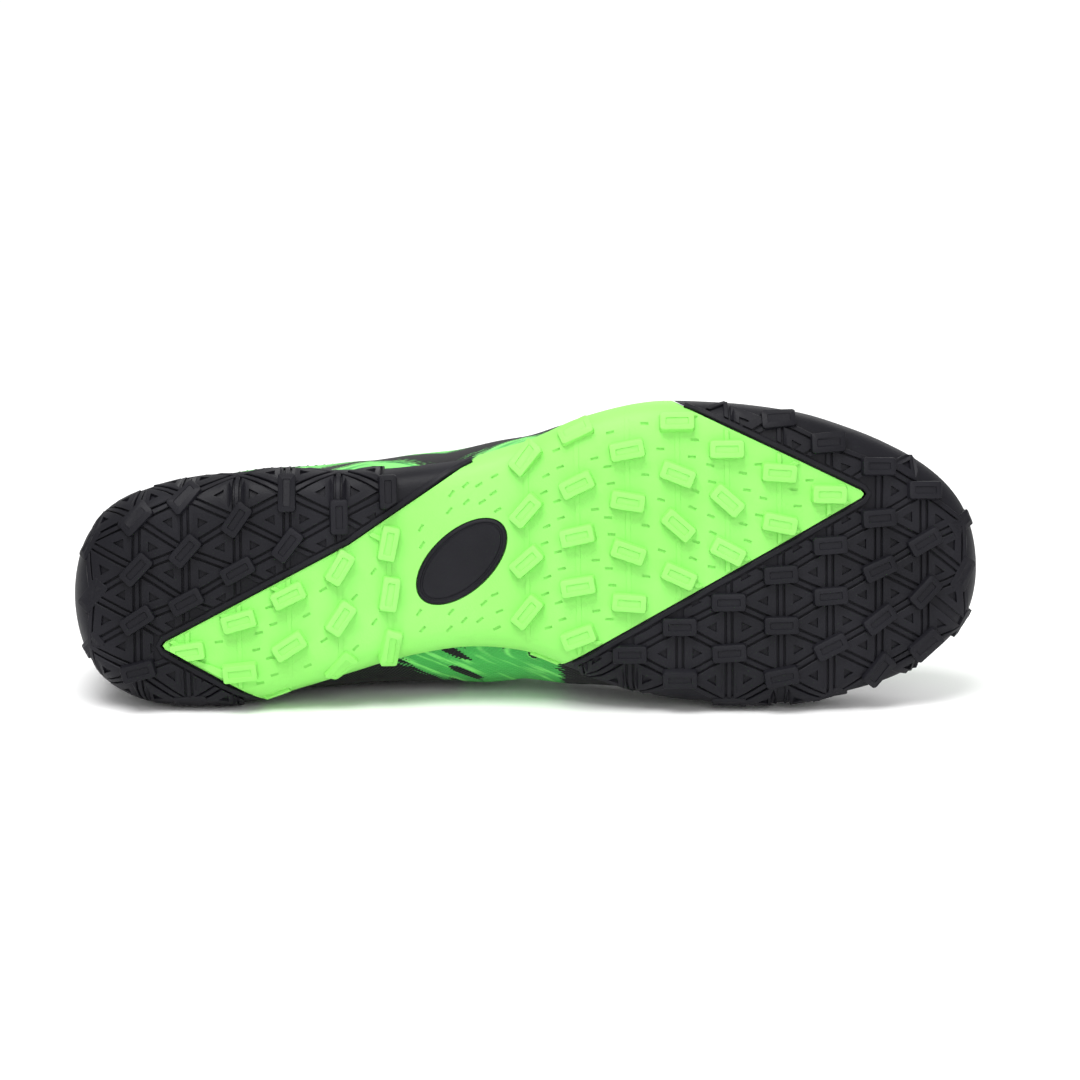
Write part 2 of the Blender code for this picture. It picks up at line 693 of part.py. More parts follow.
def make_tongue():
    """The tongue: it lies on the last under the eyestays and stands up past them."""
    lap = throat_half(TONGUE_TOP_STATION) + TONGUE_TOP_LAP
    toe_lap = throat_half(TONGUE_LAP_STATION) + TONGUE_LAP
    inner = -(WALL + TONGUE_CLEARANCE)
    ridge = [over_instep(s, 0.0, inner) for s in (TONGUE_TOP_STATION, TONGUE_TOP_STATION + 0.03)]
    upward = (ridge[0] - ridge[1]).normalized()

    mesh = bmesh.new()
    made = bmesh.ops.create_grid(
        mesh, x_segments=TONGUE_ROWS, y_segments=TONGUE_COLUMNS, size=0.5,
        matrix=Matrix.Translation((0.5, 0.5, 0.0)),
    )["verts"]
    for vert in made:
        along, across = vert.co.x, vert.co.y * 2 - 1
        seated = min(along / TONGUE_ON_LAST, 1.0)
        station = TONGUE_TOE_STATION + (TONGUE_TOP_STATION - TONGUE_TOE_STATION) * seated
        free = max(along - TONGUE_ON_LAST, 0.0) / (1 - TONGUE_ON_LAST)
        half = (toe_lap + (lap - toe_lap) * seated) * (1 - TONGUE_TIP_TAPER * free * free)
        vert.co = over_instep(station, across * half, inner) + upward * TONGUE_RISE * free
    return add_wall(stand("tongue", mesh, TONGUE_CLOTH), TONGUE_THICKNESS)


def lace_bar(name, start, end):
    """One length of lace over the throat, between two (station, side) eyelets."""
    path = bpy.data.curves.new(name, "CURVE")
    path.dimensions = "3D"
    path.bevel_depth = LACE_DIAMETER / 2
    path.bevel_resolution = 2
    path.use_fill_caps = True
    spline = path.splines.new("POLY")
    spline.points.add(LACE_STEPS)
    rise = LACE_DIAMETER / 2 + LACE_CLEARANCE + (LACE_OVER if start[1] == LATERAL else 0.0)
    for i, point in enumerate(spline.points):
        share = i / LACE_STEPS
        station = start[0] + (end[0] - start[0]) * share
        reach = throat_half(station) + EYELET_SETBACK
        offset = reach * (start[1] + (end[1] - start[1]) * share)
        point.co = (*over_instep(station, offset, rise), 1.0)
    return path


def make_lace():
    """The lace's crossings, joined where they meet at the eyelets and over the tongue."""
    gap = (LACE_END_STATION - LACE_START_STATION) / (EYELET_PAIRS - 1)
    rows = [LACE_START_STATION + gap * i for i in range(EYELET_PAIRS)]
    runs = [((rows[0], MEDIAL), (rows[0], LATERAL))]
    for low, high in zip(rows, rows[1:]):
        runs.append(((low, LATERAL), (high, MEDIAL)))
        runs.append(((low, MEDIAL), (high, LATERAL)))
    bars = []
    for i, (start, end) in enumerate(runs):
        path = lace_bar(f"lace_run_{i}", start, end)
        guide = bpy.data.objects.new(f"lace_run_{i}", path)
        bpy.context.scene.collection.objects.link(guide)
        bpy.context.view_layer.update()
        tube = bmesh.new()
        tube.from_mesh(guide.to_mesh())
        guide.to_mesh_clear()
        bpy.data.objects.remove(guide)
        bmesh.ops.remove_doubles(tube, verts=tube.verts, dist=WELD)
        bmesh.ops.recalc_face_normals(tube, faces=tube.faces)
        bars.append(stand(f"lace_run_{i}", tube, LACE_CLOTH if i == 0 else None))
    lace = bars[0]
    lace.name = "lace"
    for bar in bars[1:]:
        add_boolean(lace, "UNION", bar)
    return lace


def world_mesh(item, graph):
    """A piece's corner points and triangles, as its modifiers leave them."""
    made = item.evaluated_get(graph)
    mesh = made.to_mesh()
    mesh.calc_loop_triangles()
    points = [item.matrix_world @ vert.co for vert in mesh.vertices]
    triangles = [tuple(triangle.vertices) for triangle in mesh.loop_triangles]
    made.to_mesh_clear()
    return points, triangles


def centre_of_mass(meshes):
    total, moment = 0.0, Vector((0, 0, 0))
    for points, triangles in meshes:
        for a, b, c in ((points[i], points[j], points[k]) for i, j, k in triangles):
            volume = a.dot(b.cross(c)) / 6
            total += volume
            moment += (a + b + c) / 4 * volume
    return moment / total


def resting_face(meshes):
    """The outward direction of the hull face that the shoe lies on, on its medial side."""
    centre = centre_of_mass(meshes)
    hull = bmesh.new()
    for points, _ in meshes:
        for point in points:
            hull.verts.new(point)
    bmesh.ops.convex_hull(hull, input=hull.verts)
    bmesh.ops.triangulate(hull, faces=hull.faces)
    medial = place(0, MEDIAL, 0)
    for face in hull.faces:
        outward = face.normal.copy()
        if outward.dot(face.calc_center_median() - centre) < 0:
            outward.negate()
        corners = [vert.co for vert in face.verts]
        if outward.dot(medial) > MEDIAL_ENOUGH and intersect_ray_tri(*corners, outward, centre, True):
            hull.free()
            return outward
    raise ValueError("the shoe has no medial face to lie on")


def lay_down(pieces):
    """Parents the pieces to one empty, which lays the shoe on its medial side."""
    bpy.context.view_layer.update()
    graph = bpy.context.evaluated_depsgraph_get()
    meshes = [world_mesh(piece, graph) for piece in pieces]
    turn = resting_face(meshes).rotation_difference(Vector((0, 0, -1))).to_matrix()
    heading = turn @ Vector((1, 0, 0))
    turn = Matrix.Rotation(-math.atan2(heading.y, heading.x), 3, "Z") @ turn
    points = [turn @ point for mesh_points, _ in meshes for point in mesh_points]
    low = [min(point[i] for point in points) for i in range(3)]
    high = [max(point[i] for point in points) for i in range(3)]
    middle = Vector(((low[0] + high[0]) / 2, (low[1] + high[1]) / 2, low[2]))
    shoe = bpy.data.objects.new("shoe", None)
    bpy.context.scene.collection.objects.link(shoe)
    shoe.rotation_mode = "QUATERNION"
    shoe.rotation_quaternion = turn.to_quaternion()
    shoe.location = -middle
    for item in bpy.data.objects:
        if item.type == "MESH":
            item.parent = shoe


def main():
    for item in list(bpy.data.objects):
        bpy.data.objects.remove(item)
    outsole = make_outsole()
    badge = make_badge(outsole[1])
    pieces = [*outsole, badge, make_insole(), make_upper(), make_tongue(), make_lace()]
    lay_down(pieces)


main()
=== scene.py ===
"""The looks of a right turf shoe that lies on its medial side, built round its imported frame.

Every piece is worked out on the standing shoe, whose x runs from the back of the heel to the
toe, whose lateral offset counts from the line that joins the two and whose height counts from
the ground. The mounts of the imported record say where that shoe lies.
"""

from __future__ import annotations

import json
import logging
import math
from bisect import bisect_right
from dataclasses import dataclass, field
from enum import Enum
from functools import partial
from itertools import starmap
from typing import Callable, NamedTuple, Sequence

import bmesh
import bpy
from bmesh import ops
from bmesh.types import BMEdge, BMesh, BMFace
from bpy.types import Material, NodeSocket, Object
from mathutils import Matrix, Vector
from mathutils.bvhtree import BVHTree
from mathutils.kdtree import KDTree


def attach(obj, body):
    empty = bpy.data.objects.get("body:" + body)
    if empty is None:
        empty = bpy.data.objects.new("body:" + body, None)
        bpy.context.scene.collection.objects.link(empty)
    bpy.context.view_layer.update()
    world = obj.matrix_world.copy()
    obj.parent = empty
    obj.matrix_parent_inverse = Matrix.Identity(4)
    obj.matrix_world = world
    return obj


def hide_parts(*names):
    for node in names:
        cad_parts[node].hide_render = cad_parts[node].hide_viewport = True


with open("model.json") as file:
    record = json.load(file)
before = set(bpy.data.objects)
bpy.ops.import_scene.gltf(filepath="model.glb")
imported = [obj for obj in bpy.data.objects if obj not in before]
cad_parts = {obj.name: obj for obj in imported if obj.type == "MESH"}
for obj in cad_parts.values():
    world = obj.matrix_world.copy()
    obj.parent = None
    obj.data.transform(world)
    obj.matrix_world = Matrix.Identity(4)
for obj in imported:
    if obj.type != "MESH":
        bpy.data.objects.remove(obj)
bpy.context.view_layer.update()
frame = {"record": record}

LOG = logging.getLogger("turf_shoe")
MM = 0.001
WELD = 1e-6
FAR = 0.2
BODY = "root"
Colour = tuple[float, float, float, float]
PlanePoint = Callable[[float, float], Vector]


class Side(Enum):
    """The two sides of the shoe, with the sign of a lateral offset there."""

    LATERAL = 1
    MEDIAL = -1


class Zone(Enum):
    """The three rubber pieces of the outsole."""

    HEEL = "outsole_heel"
    CENTRE = "outsole_centre"
    TOE = "outsole_toe"


SidePoint = Callable[[Side, float, float], Vector]


# The standing shoe's form


class Plan(NamedTuple):
    """The sole's plan at a station: its middle line's swing and half width by ball width."""

    station: float
    swing: float
    half: float


class Edge(NamedTuple):
    """The sole's side view: lift of its underside and height of its edge, by edge height."""

    station: float
    lift: float
    edge: float


class Across(NamedTuple):
    """A point of a section from the middle of the underside to the middle of the top."""

    reach: float
    rise: float


class Belly(NamedTuple):
    """How far the last's widest line stands out over the feather edge, and its height."""

    station: float
    lateral: float
    medial: float
    height: float


class Crest(NamedTuple):
    """The last's ridge over toe and instep, and the leg's top line behind it."""

    station: float
    lean: float
    middle: float
    side: float
    height: float


class Round(NamedTuple):
    """How the last rounds over from belly to crest, as shares of the way."""

    station: float
    stand: float
    crown: float
    drop: float


class Opening(NamedTuple):
    """Where the upper ends: the collar's height and half the throat's opening."""

    station: float
    heel: float
    instep: float
    throat: float


SOLE_PLAN = tuple(starmap(Plan, (
    (0.000, -0.053, 0.000), (0.021, -0.052, 0.226), (0.082, -0.049, 0.344), (0.129, -0.043, 0.371),
    (0.196, -0.025, 0.381), (0.251, -0.003, 0.360), (0.307, 0.021, 0.335), (0.362, 0.046, 0.314),
    (0.417, 0.069, 0.308), (0.494, 0.093, 0.342), (0.566, 0.097, 0.424), (0.660, 0.080, 0.490),
    (0.719, 0.066, 0.495), (0.791, 0.052, 0.480), (0.863, 0.037, 0.428), (0.911, 0.026, 0.373),
    (0.959, 0.021, 0.278), (0.986, 0.012, 0.180), (1.000, 0.000, 0.000),
)))
SOLE_SIDE = tuple(starmap(Edge, (
    (0.00, 0.20, 1.00), (0.03, 0.07, 0.98), (0.08, 0.00, 0.95), (0.27, 0.00, 0.90),
    (0.37, 0.16, 0.88), (0.49, 0.16, 0.79), (0.57, 0.00, 0.69), (0.76, 0.00, 0.62),
    (0.84, 0.09, 0.69), (0.92, 0.29, 0.86), (1.00, 0.60, 1.19),
)))
SOLE_SECTION = tuple(starmap(Across, (
    (0.00, 0.00), (0.25, 0.00), (0.45, 0.00), (0.60, 0.00), (0.70, 0.008), (0.77, 0.032),
    (0.83, 0.075), (0.88, 0.145), (0.92, 0.24), (0.95, 0.36), (0.972, 0.48), (0.988, 0.62),
    (0.997, 0.74), (1.000, 0.79), (0.986, 0.81), (0.986, 0.84), (0.999, 0.86), (0.995, 0.95),
    (0.978, 1.00), (0.88, 1.00), (0.45, 1.00), (0.00, 1.00),
)))
INSOLE_SECTION = tuple(starmap(Across, (
    (0.00, 0.00), (0.50, 0.00), (0.85, 0.00), (0.98, 0.06), (1.00, 0.35), (1.00, 0.75),
    (0.985, 0.95), (0.94, 1.00), (0.60, 0.86), (0.00, 0.80),
)))
LAST_BELLY = tuple(starmap(Belly, (
    (0.00, 0.010, 0.010, 0.36), (0.08, 0.004, 0.000, 0.36), (0.16, 0.000, -0.020, 0.37),
    (0.21, 0.000, -0.004, 0.38), (0.26, 0.006, 0.052, 0.39), (0.32, 0.032, 0.100, 0.40),
    (0.38, 0.046, 0.142, 0.40), (0.45, 0.042, 0.168, 0.38), (0.52, 0.020, 0.128, 0.36),
    (0.58, 0.002, 0.072, 0.33), (0.66, -0.006, 0.012, 0.30), (0.76, -0.006, -0.006, 0.28),
    (0.88, -0.004, -0.004, 0.28), (1.00, -0.004, -0.004, 0.32),
)))
LAST_CREST = tuple(starmap(Crest, (
    (0.00, 0.045, -0.048, 0.000, 1.155), (0.02, 0.033, -0.047, 0.134, 1.155),
    (0.08, 0.010, -0.045, 0.237, 1.155), (0.15, 0.000, -0.038, 0.283, 1.155),
    (0.24, -0.005, -0.027, 0.293, 1.158), (0.31, -0.010, -0.018, 0.270, 1.165),
    (0.36, -0.020, -0.011, 0.200, 1.165), (0.385, -0.022, -0.007, 0.110, 1.155),
    (0.41, -0.022, -0.002, 0.000, 1.125), (0.45, -0.021, 0.004, 0.000, 1.055),
    (0.50, -0.018, 0.014, 0.000, 0.965), (0.55, -0.013, 0.025, 0.000, 0.875),
    (0.60, -0.009, 0.035, 0.000, 0.790), (0.66, -0.004, 0.043, 0.000, 0.695),
    (0.72, 0.000, 0.046, 0.000, 0.618), (0.80, -0.003, 0.042, 0.000, 0.550),
    (0.88, -0.013, 0.033, 0.000, 0.506), (0.95, -0.048, 0.022, 0.000, 0.480),
    (1.00, -0.092, 0.012, 0.000, 0.465),
)))
LAST_ROUND = tuple(starmap(Round, (
    (0.00, 0.40, 0.00, 0.40), (0.30, 0.42, 0.00, 0.38), (0.41, 0.52, 0.50, 0.05),
    (0.55, 0.55, 0.52, 0.03), (0.72, 0.58, 0.56, 0.02), (1.00, 0.60, 0.60, 0.02),
)))
UPPER_EDGE = tuple(starmap(Opening, (
    (0.00, 1.00, 0.00, 0.00), (0.08, 0.95, 0.00, 0.00), (0.15, 0.83, 0.00, 0.00),
    (0.21, 0.68, 0.07, 0.00), (0.28, 0.35, 0.38, 0.00), (0.33, 0.10, 0.71, 0.10),
    (0.37, 0.00, 0.93, 0.40), (0.40, 0.00, 1.03, 0.50), (0.43, 0.00, 1.40, 0.48),
    (0.52, 0.00, 1.40, 0.38), (0.60, 0.00, 1.40, 0.30), (0.640, 0.00, 1.40, 0.20),
    (0.665, 0.00, 1.40, 0.00), (1.00, 0.00, 1.40, 0.00),
)))


def angle_of(station: float) -> float:
    """The rib angle of a station, which spreads the stations out at heel and toe."""
    return math.acos(min(1.0, max(-1.0, 1 - 2 * station)))


def station_at(share: float) -> float:
    """The station of a rib, from its share of all ribs."""
    return (1 - math.cos(math.pi * share)) / 2


class Course:
    """A value along the shoe, smooth through the rows of a table and with no overshoot."""

    def __init__(self, rows: Sequence[NamedTuple], column: str, scale: float) -> None:
        """Works out the slope at each row.

        Args:
            rows: The table, each row with a station.
            column: The name of the value.
            scale: The size that the value is a share of.
        """
        self.angles = [angle_of(row.station) for row in rows]
        self.values = [getattr(row, column) * scale for row in rows]
        steps = [b - a for a, b in zip(self.angles, self.angles[1:])]
        rises = [(b - a) / step for a, b, step in zip(self.values, self.values[1:], steps)]
        self.slopes = [rises[0]]
        for before, after in zip(rises, rises[1:]):
            same_way = before * after > 0
            self.slopes.append(2 * before * after / (before + after) if same_way else 0.0)
        self.slopes.append(rises[-1])

    def __call__(self, station: float) -> float:
        """The value at a station.

        Args:
            station: The place along the shoe, 0 at the heel and 1 at the toe.

        Returns:
            The value, in the scale's unit.
        """
        angle = angle_of(station)
        i = min(max(bisect_right(self.angles, angle) - 1, 0), len(self.angles) - 2)
        step = self.angles[i + 1] - self.angles[i]
        t = (angle - self.angles[i]) / step
        start, end = self.values[i], self.values[i + 1]
        leave, arrive = self.slopes[i] * step, self.slopes[i + 1] * step
        blend = t * t * (3 - 2 * t)
        return start + (end - start) * blend + t * (1 - t) * ((1 - t) * leave - t * arrive)


def bezier(a: Vector, b: Vector, c: Vector, d: Vector, t: float) -> Vector:
    """A point of a cubic Bezier curve."""
    s = 1 - t
    return a * s**3 + b * (3 * s * s * t) + c * (3 * s * t * t) + d * t**3


def smooth(low: float, high: float, value: float) -> float:
    """A soft step from 0 under low to 1 over high."""
    t = min(max((value - low) / (high - low), 0.0), 1.0)
    return t * t * (3 - 2 * t)


def bump(value: float, middle: float, width: float) -> float:
    """A soft hump of height 1 round middle."""
    return math.exp(-(((value - middle) / width) ** 2))


@dataclass
class ShoeForm:
    """The standing shoe's sizes, and the surfaces that all its pieces follow.

    Its points are (x, -lateral offset, height), as a right shoe's are that points along +x.
    """

    length: float = 290 * MM
    ball_width: float = 97.2 * MM
    instep_height: float = 97 * MM
    heel_height: float = 84 * MM
    edge_height: float = 21 * MM
    lug_height: float = 3.5 * MM
    wall: float = 1.8 * MM
    throat_width: float = 40 * MM
    feather_inset: float = 2.4 * MM
    seat_gap: float = 0.4 * MM
    upper_seat_gap: float = 0.9 * MM
    insole_thickness: float = 3.5 * MM
    axis_start: float = 0.10
    axis_share: float = 0.80
    belly_at: float = 0.34
    courses: dict[str, Course] = field(default_factory=dict)

    def __post_init__(self) -> None:
        """Works out the courses of every table."""
        tables = (
            (SOLE_PLAN, {"swing": self.ball_width, "half": self.ball_width}),
            (SOLE_SIDE, {"lift": self.edge_height, "edge": self.edge_height}),
            (LAST_BELLY, {"lateral": self.ball_width, "medial": self.ball_width}),
            (LAST_CREST, {"lean": self.length, "middle": self.ball_width,
                          "side": self.ball_width}),
            (LAST_ROUND, {"stand": 1.0, "crown": 1.0, "drop": 1.0}),
            (UPPER_EDGE, {"heel": self.heel_height, "instep": self.instep_height,
                          "throat": self.throat_width}),
        )
        for rows, columns in tables:
            for column, scale in columns.items():
                self.courses[column] = Course(rows, column, scale)
        self.courses["belly"] = Course(LAST_BELLY, "height", self.instep_height)
        self.courses["crest"] = Course(LAST_CREST, "height", self.instep_height)

    def at(self, name: str, station: float) -> float:
        """A course's value at a station."""
        return self.courses[name](station)

    def underside(self, x: float) -> float:
        """The height of the sole's underside along the middle, without its lugs."""
        return self.lug_height + self.at("lift", self.station(x))

    def top(self, x: float) -> float:
        """The height of the sole's top."""
        return self.at("edge", self.station(x))

    def station(self, x: float) -> float:
        """The station of a distance from the heel."""
        return min(1.0, max(0.0, x / self.length))

    def outline(self, side: Side, station: float, inset: float) -> tuple[Vector, Vector]:
        """The sole's outline in plan, as (x, lateral offset).

        Args:
            side: The side of the shoe.
            station: The place along it.
            inset: How far the point is moved in, square to the outline.

        Returns:
            The point and the outward direction there.
        """
        nudge = 0.004
        angle = angle_of(station)

        def rim(turn: float) -> Vector:
            """The outline's point at a rib angle."""
            along = (1 - math.cos(turn)) / 2
            half = side.value * self.at("half", along)
            return Vector((along * self.length, self.at("swing", along) + half))

        way = (rim(min(angle + nudge, math.pi)) - rim(max(angle - nudge, 0.0))).normalized()
        outward = Vector((-way.y, way.x)) * side.value
        if angle < nudge:
            outward = Vector((-1.0, 0.0))
        if angle > math.pi - nudge:
            outward = Vector((1.0, 0.0))
        return rim(angle) - outward * inset, outward

    def last(self, side: Side, station: float, t: float) -> Vector:
        """A point of the last's outside.

        Args:
            side: The side of the shoe.
            station: The rib's station.
            t: 0 at the feather edge, belly_at at the belly and 1 at the crest.

        Returns:
            The point on the standing shoe.
        """
        plan, outward = self.outline(side, station, self.feather_inset)
        foot = place(plan.x, plan.y, self.top(plan.x) + self.upper_seat_gap)
        wide = plan + outward * self.at(side.name.lower(), station)
        belly = place(wide.x, wide.y, max(self.at("belly", station), foot.z + 4 * MM))
        crest = place(
            station * self.length + self.at("lean", station),
            self.at("middle", station) + side.value * self.at("side", station),
            self.at("crest", station),
        )
        if t <= self.belly_at:
            climb = belly.z - foot.z
            leave = foot.lerp(belly, 0.6)
            leave.z = foot.z + 0.15 * climb
            arrive = belly - Vector((0, 0, 0.5 * climb))
            return bezier(foot, leave, arrive, belly, t / self.belly_at)
        climb = crest.z - belly.z
        over = (belly - crest) * self.at("crown", station)
        over.z = -climb * self.at("drop", station)
        stand = belly + Vector((0, 0, climb * self.at("stand", station)))
        share = (t - self.belly_at) / (1 - self.belly_at)
        return bezier(belly, stand, crest + over, crest, share)

    def outward(self, side: Side, station: float, t: float) -> Vector:
        """The last's outward direction at one of its points.

        Args:
            side: The side of the shoe. At the shoe's ends both sides share one direction.
            station: The rib's station.
            t: The place on the rib. At the crest the direction just below it is taken.

        Returns:
            The direction.
        """
        nudge, end, most = 0.004, 0.0012, 0.995
        t = min(t, most)
        if station < end or station > 1 - end:
            inner = min(max(station, end), 1 - end)
            both = self.outward(Side.LATERAL, inner, t) + self.outward(Side.MEDIAL, inner, t)
            return both.normalized()
        near, far = max(station - nudge, 0.0), min(station + nudge, 1.0)
        low, high = max(t - nudge, 0.0), t + nudge
        along = self.last(side, far, t) - self.last(side, near, t)
        up = self.last(side, station, high) - self.last(side, station, low)
        return along.cross(up).normalized() * side.value

    def furthest(self, inside: Callable[[float], bool]) -> float:
        """The largest t on a rib, from the belly on, for which a test holds.

        Args:
            inside: The test, which holds at the belly.

        Returns:
            The t, which is 1 where the test holds at the crest too.
        """
        if inside(1.0):
            return 1.0
        low, high = self.belly_at, 1.0
        for _ in range(20):
            middle = (low + high) / 2
            low, high = (middle, high) if inside(middle) else (low, middle)
        return low

    def from_middle(self, point: Vector, station: float) -> float:
        """How far a point stands to one side of the ridge."""
        return abs(-point.y - self.at("middle", station))

    def upper_end(self, side: Side, station: float) -> float:
        """The rib's t at which the upper ends, at its collar, its throat or the crest.

        Args:
            side: The side of the shoe.
            station: The rib's station.

        Returns:
            The t.
        """
        collar = self.at("heel", station) + self.at("instep", station)
        opening = self.at("throat", station)

        def covered(t: float) -> bool:
            """Whether the upper still covers the rib there."""
            point = self.last(side, station, t)
            return point.z <= collar and self.from_middle(point, station) >= opening

        return self.furthest(covered)

    def over_instep(self, station: float, offset: float, rise: float) -> tuple[Vector, Vector]:
        """A point over the last, to one side of its ridge.

        Args:
            station: The place along the shoe.
            offset: The distance from the ridge, positive on the lateral side.
            rise: The height over the last.

        Returns:
            The point and the last's outward direction there.
        """
        side = Side.LATERAL if offset >= 0 else Side.MEDIAL

        def short(t: float) -> bool:
            """Whether the rib is still that far from the ridge."""
            return self.from_middle(self.last(side, station, t), station) >= abs(offset)

        t = self.furthest(short)
        outward = self.outward(side, station, t)
        if abs(offset) < WELD:
            outward.y = 0.0
            outward.normalize()
        return self.last(side, station, t) + outward * rise, outward


def place(x: float, lateral: float, z: float) -> Vector:
    """A point of the standing shoe."""
    return Vector((x, -lateral, z))


def lying(form: ShoeForm, record: dict) -> Matrix:
    """The way from the standing shoe to where it lies.

    Args:
        form: The shoe's form.
        record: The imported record, whose two tread mounts say where the sole lies.

    Returns:
        The matrix that takes a point of the standing shoe there.
    """
    heel_station, heel_offset, stations_apart = 0.128, 0.06, 0.54
    mounts = {mount["name"]: mount for mount in record["mounts"]}
    heel = Vector(mounts["heel_tread"]["pos_m"])
    run = Vector(mounts["forefoot_tread"]["pos_m"]) - heel
    up = -Vector(mounts["heel_tread"]["axis"]).normalized()
    heel_at = Vector((heel_station * form.length, heel_offset * form.ball_width, 0.0))
    turn = Matrix.Rotation(math.atan2(heel_at.y, stations_apart * form.length), 3, up)
    ahead = turn @ (run - up * run.dot(up)).normalized()
    frame_of = Matrix((ahead, up.cross(ahead), up)).transposed().to_4x4()
    frame_of.translation = heel - frame_of.to_3x3() @ heel_at
    return frame_of


# Shader maths


def maths(operation: str, turned: bool = False) -> Callable[[Value, Value | float], Value]:
    """An operator that adds a Math node.

    Args:
        operation: The node's operation.
        turned: Whether the socket stands on the operator's right.

    Returns:
        The operator's method.
    """

    def apply(this: Value, other: Value | float) -> Value:
        """The operator itself."""
        a, b = (other, this) if turned else (this, other)
        return this.nodes.add("ShaderNodeMath", {0: a, 1: b}, operation=operation)

    return apply


class Value:
    """A socket of a material, with operators that add its Math nodes."""

    def __init__(self, nodes: Nodes, socket: NodeSocket) -> None:
        """Wraps a socket of a tree."""
        self.nodes = nodes
        self.socket = socket

    __add__ = __radd__ = maths("ADD")
    __mul__ = __rmul__ = maths("MULTIPLY")
    __sub__, __rsub__ = maths("SUBTRACT"), maths("SUBTRACT", turned=True)
    __truediv__ = maths("DIVIDE")
    most = maths("MAXIMUM")
    ping_pong = maths("PINGPONG")

    def wave(self, length: float) -> Value:
        """A triangle wave from 0 to 1 and back, one rise in each length."""
        return (self / length).ping_pong(1.0)

    def step(self, low: float, high: float) -> Value:
        """A soft step from 0 under low to 1 over high."""
        return self.nodes.add(
            "ShaderNodeMapRange", {0: self, 1: low, 2: high}, interpolation_type="SMOOTHSTEP"
        )


class Nodes:
    """The node tree of one material, whose Principled shader is already there."""

    def __init__(self, name: str) -> None:
        """Makes the material."""
        self.material = bpy.data.materials.new(name)
        self.material.use_nodes = True
        self.tree = self.material.node_tree
        self.shader = self.tree.nodes["Principled BSDF"]

    def add(
        self, kind: str, inputs: dict | None = None, output: int | str = 0, **settings: object
    ) -> Value:
        """Adds a node.

        Args:
            kind: The node's type.
            inputs: Values or links, by the socket's index or name.
            output: The socket that is wanted.
            settings: The node's own settings.

        Returns:
            The wanted output.
        """
        node = self.tree.nodes.new(kind)
        for name, setting in settings.items():
            setattr(node, name, setting)
        for key, value in (inputs or {}).items():
            self.feed(node.inputs[key], value)
        return Value(self, node.outputs[output])

    def feed(self, socket: NodeSocket, value: Value | float | Sequence) -> None:
        """Links a value to an input, or sets the input to a plain number or colour."""
        if isinstance(value, Value):
            self.tree.links.new(value.socket, socket)
        else:
            socket.default_value = value

    def set(self, **sockets: Value | float | Sequence) -> None:
        """Feeds the shader's sockets, named with underscores for their spaces."""
        for name, value in sockets.items():
            self.feed(self.shader.inputs[name.replace("_", " ")], value)

    def place(self) -> Value:
        """The point's place in the object."""
        return self.add("ShaderNodeTexCoord", output="Object")

    def layout(self) -> Value:
        """The piece's own map, in centimetres along and across it."""
        return self.add("ShaderNodeUVMap", uv_map="layout")

    def split(self, vector: Value) -> tuple[Value, Value, Value]:
        """A vector's three parts."""
        parts = self.add("ShaderNodeSeparateXYZ", {0: vector})
        outputs = parts.socket.node.outputs
        return Value(self, outputs[0]), Value(self, outputs[1]), Value(self, outputs[2])

    def join(self, x: Value | float, y: Value | float, z: Value | float = 0.0) -> Value:
        """A vector of three parts."""
        return self.add("ShaderNodeCombineXYZ", {0: x, 1: y, 2: z})

    def noise(self, vector: Value, scale: float, detail: float = 2.0) -> Value:
        """Soft noise from 0 to 1."""
        return self.add("ShaderNodeTexNoise", {"Vector": vector, "Scale": scale,
                                               "Detail": detail})

    def mix(self, share: Value, a: Value | Colour, b: Value | Colour) -> Value:
        """A colour between a at share 0 and b at share 1."""
        return self.add("ShaderNodeMix", {0: share, 6: a, 7: b}, 2, data_type="RGBA")

    def relief(self, height: Value, depth: float) -> Value:
        """A bump from a height of 0 to 1, in metres deep."""
        return self.add("ShaderNodeBump", {"Height": height, "Distance": depth, "Strength": 1.0})


# Finishes


@dataclass(frozen=True)
class Rubber:
    """Moulded rubber: fine grain, a little bloom and uneven gloss."""

    name: str
    colour: Colour
    bloom: Colour
    roughness: float
    shine: float
    bloom_share: float = 0.5
    cloud_scale: float = 28.0
    grain_scale: float = 1500.0
    grain_depth: float = 0.06 * MM

    def material(self) -> Material:
        """The finish as a material."""
        nodes = Nodes(self.name)
        place_in = nodes.place()
        cloud = nodes.noise(place_in, self.cloud_scale, 4.0)
        grain = nodes.noise(place_in, self.grain_scale, 3.0)
        film = cloud.step(0.35, 0.8) * self.bloom_share
        nodes.set(
            Base_Color=nodes.mix(film, self.colour, self.bloom),
            Roughness=cloud * 0.16 + grain * 0.08 + (self.roughness - 0.12),
            Normal=nodes.relief(grain, self.grain_depth),
            Specular_IOR_Level=self.shine,
        )
        return nodes.material


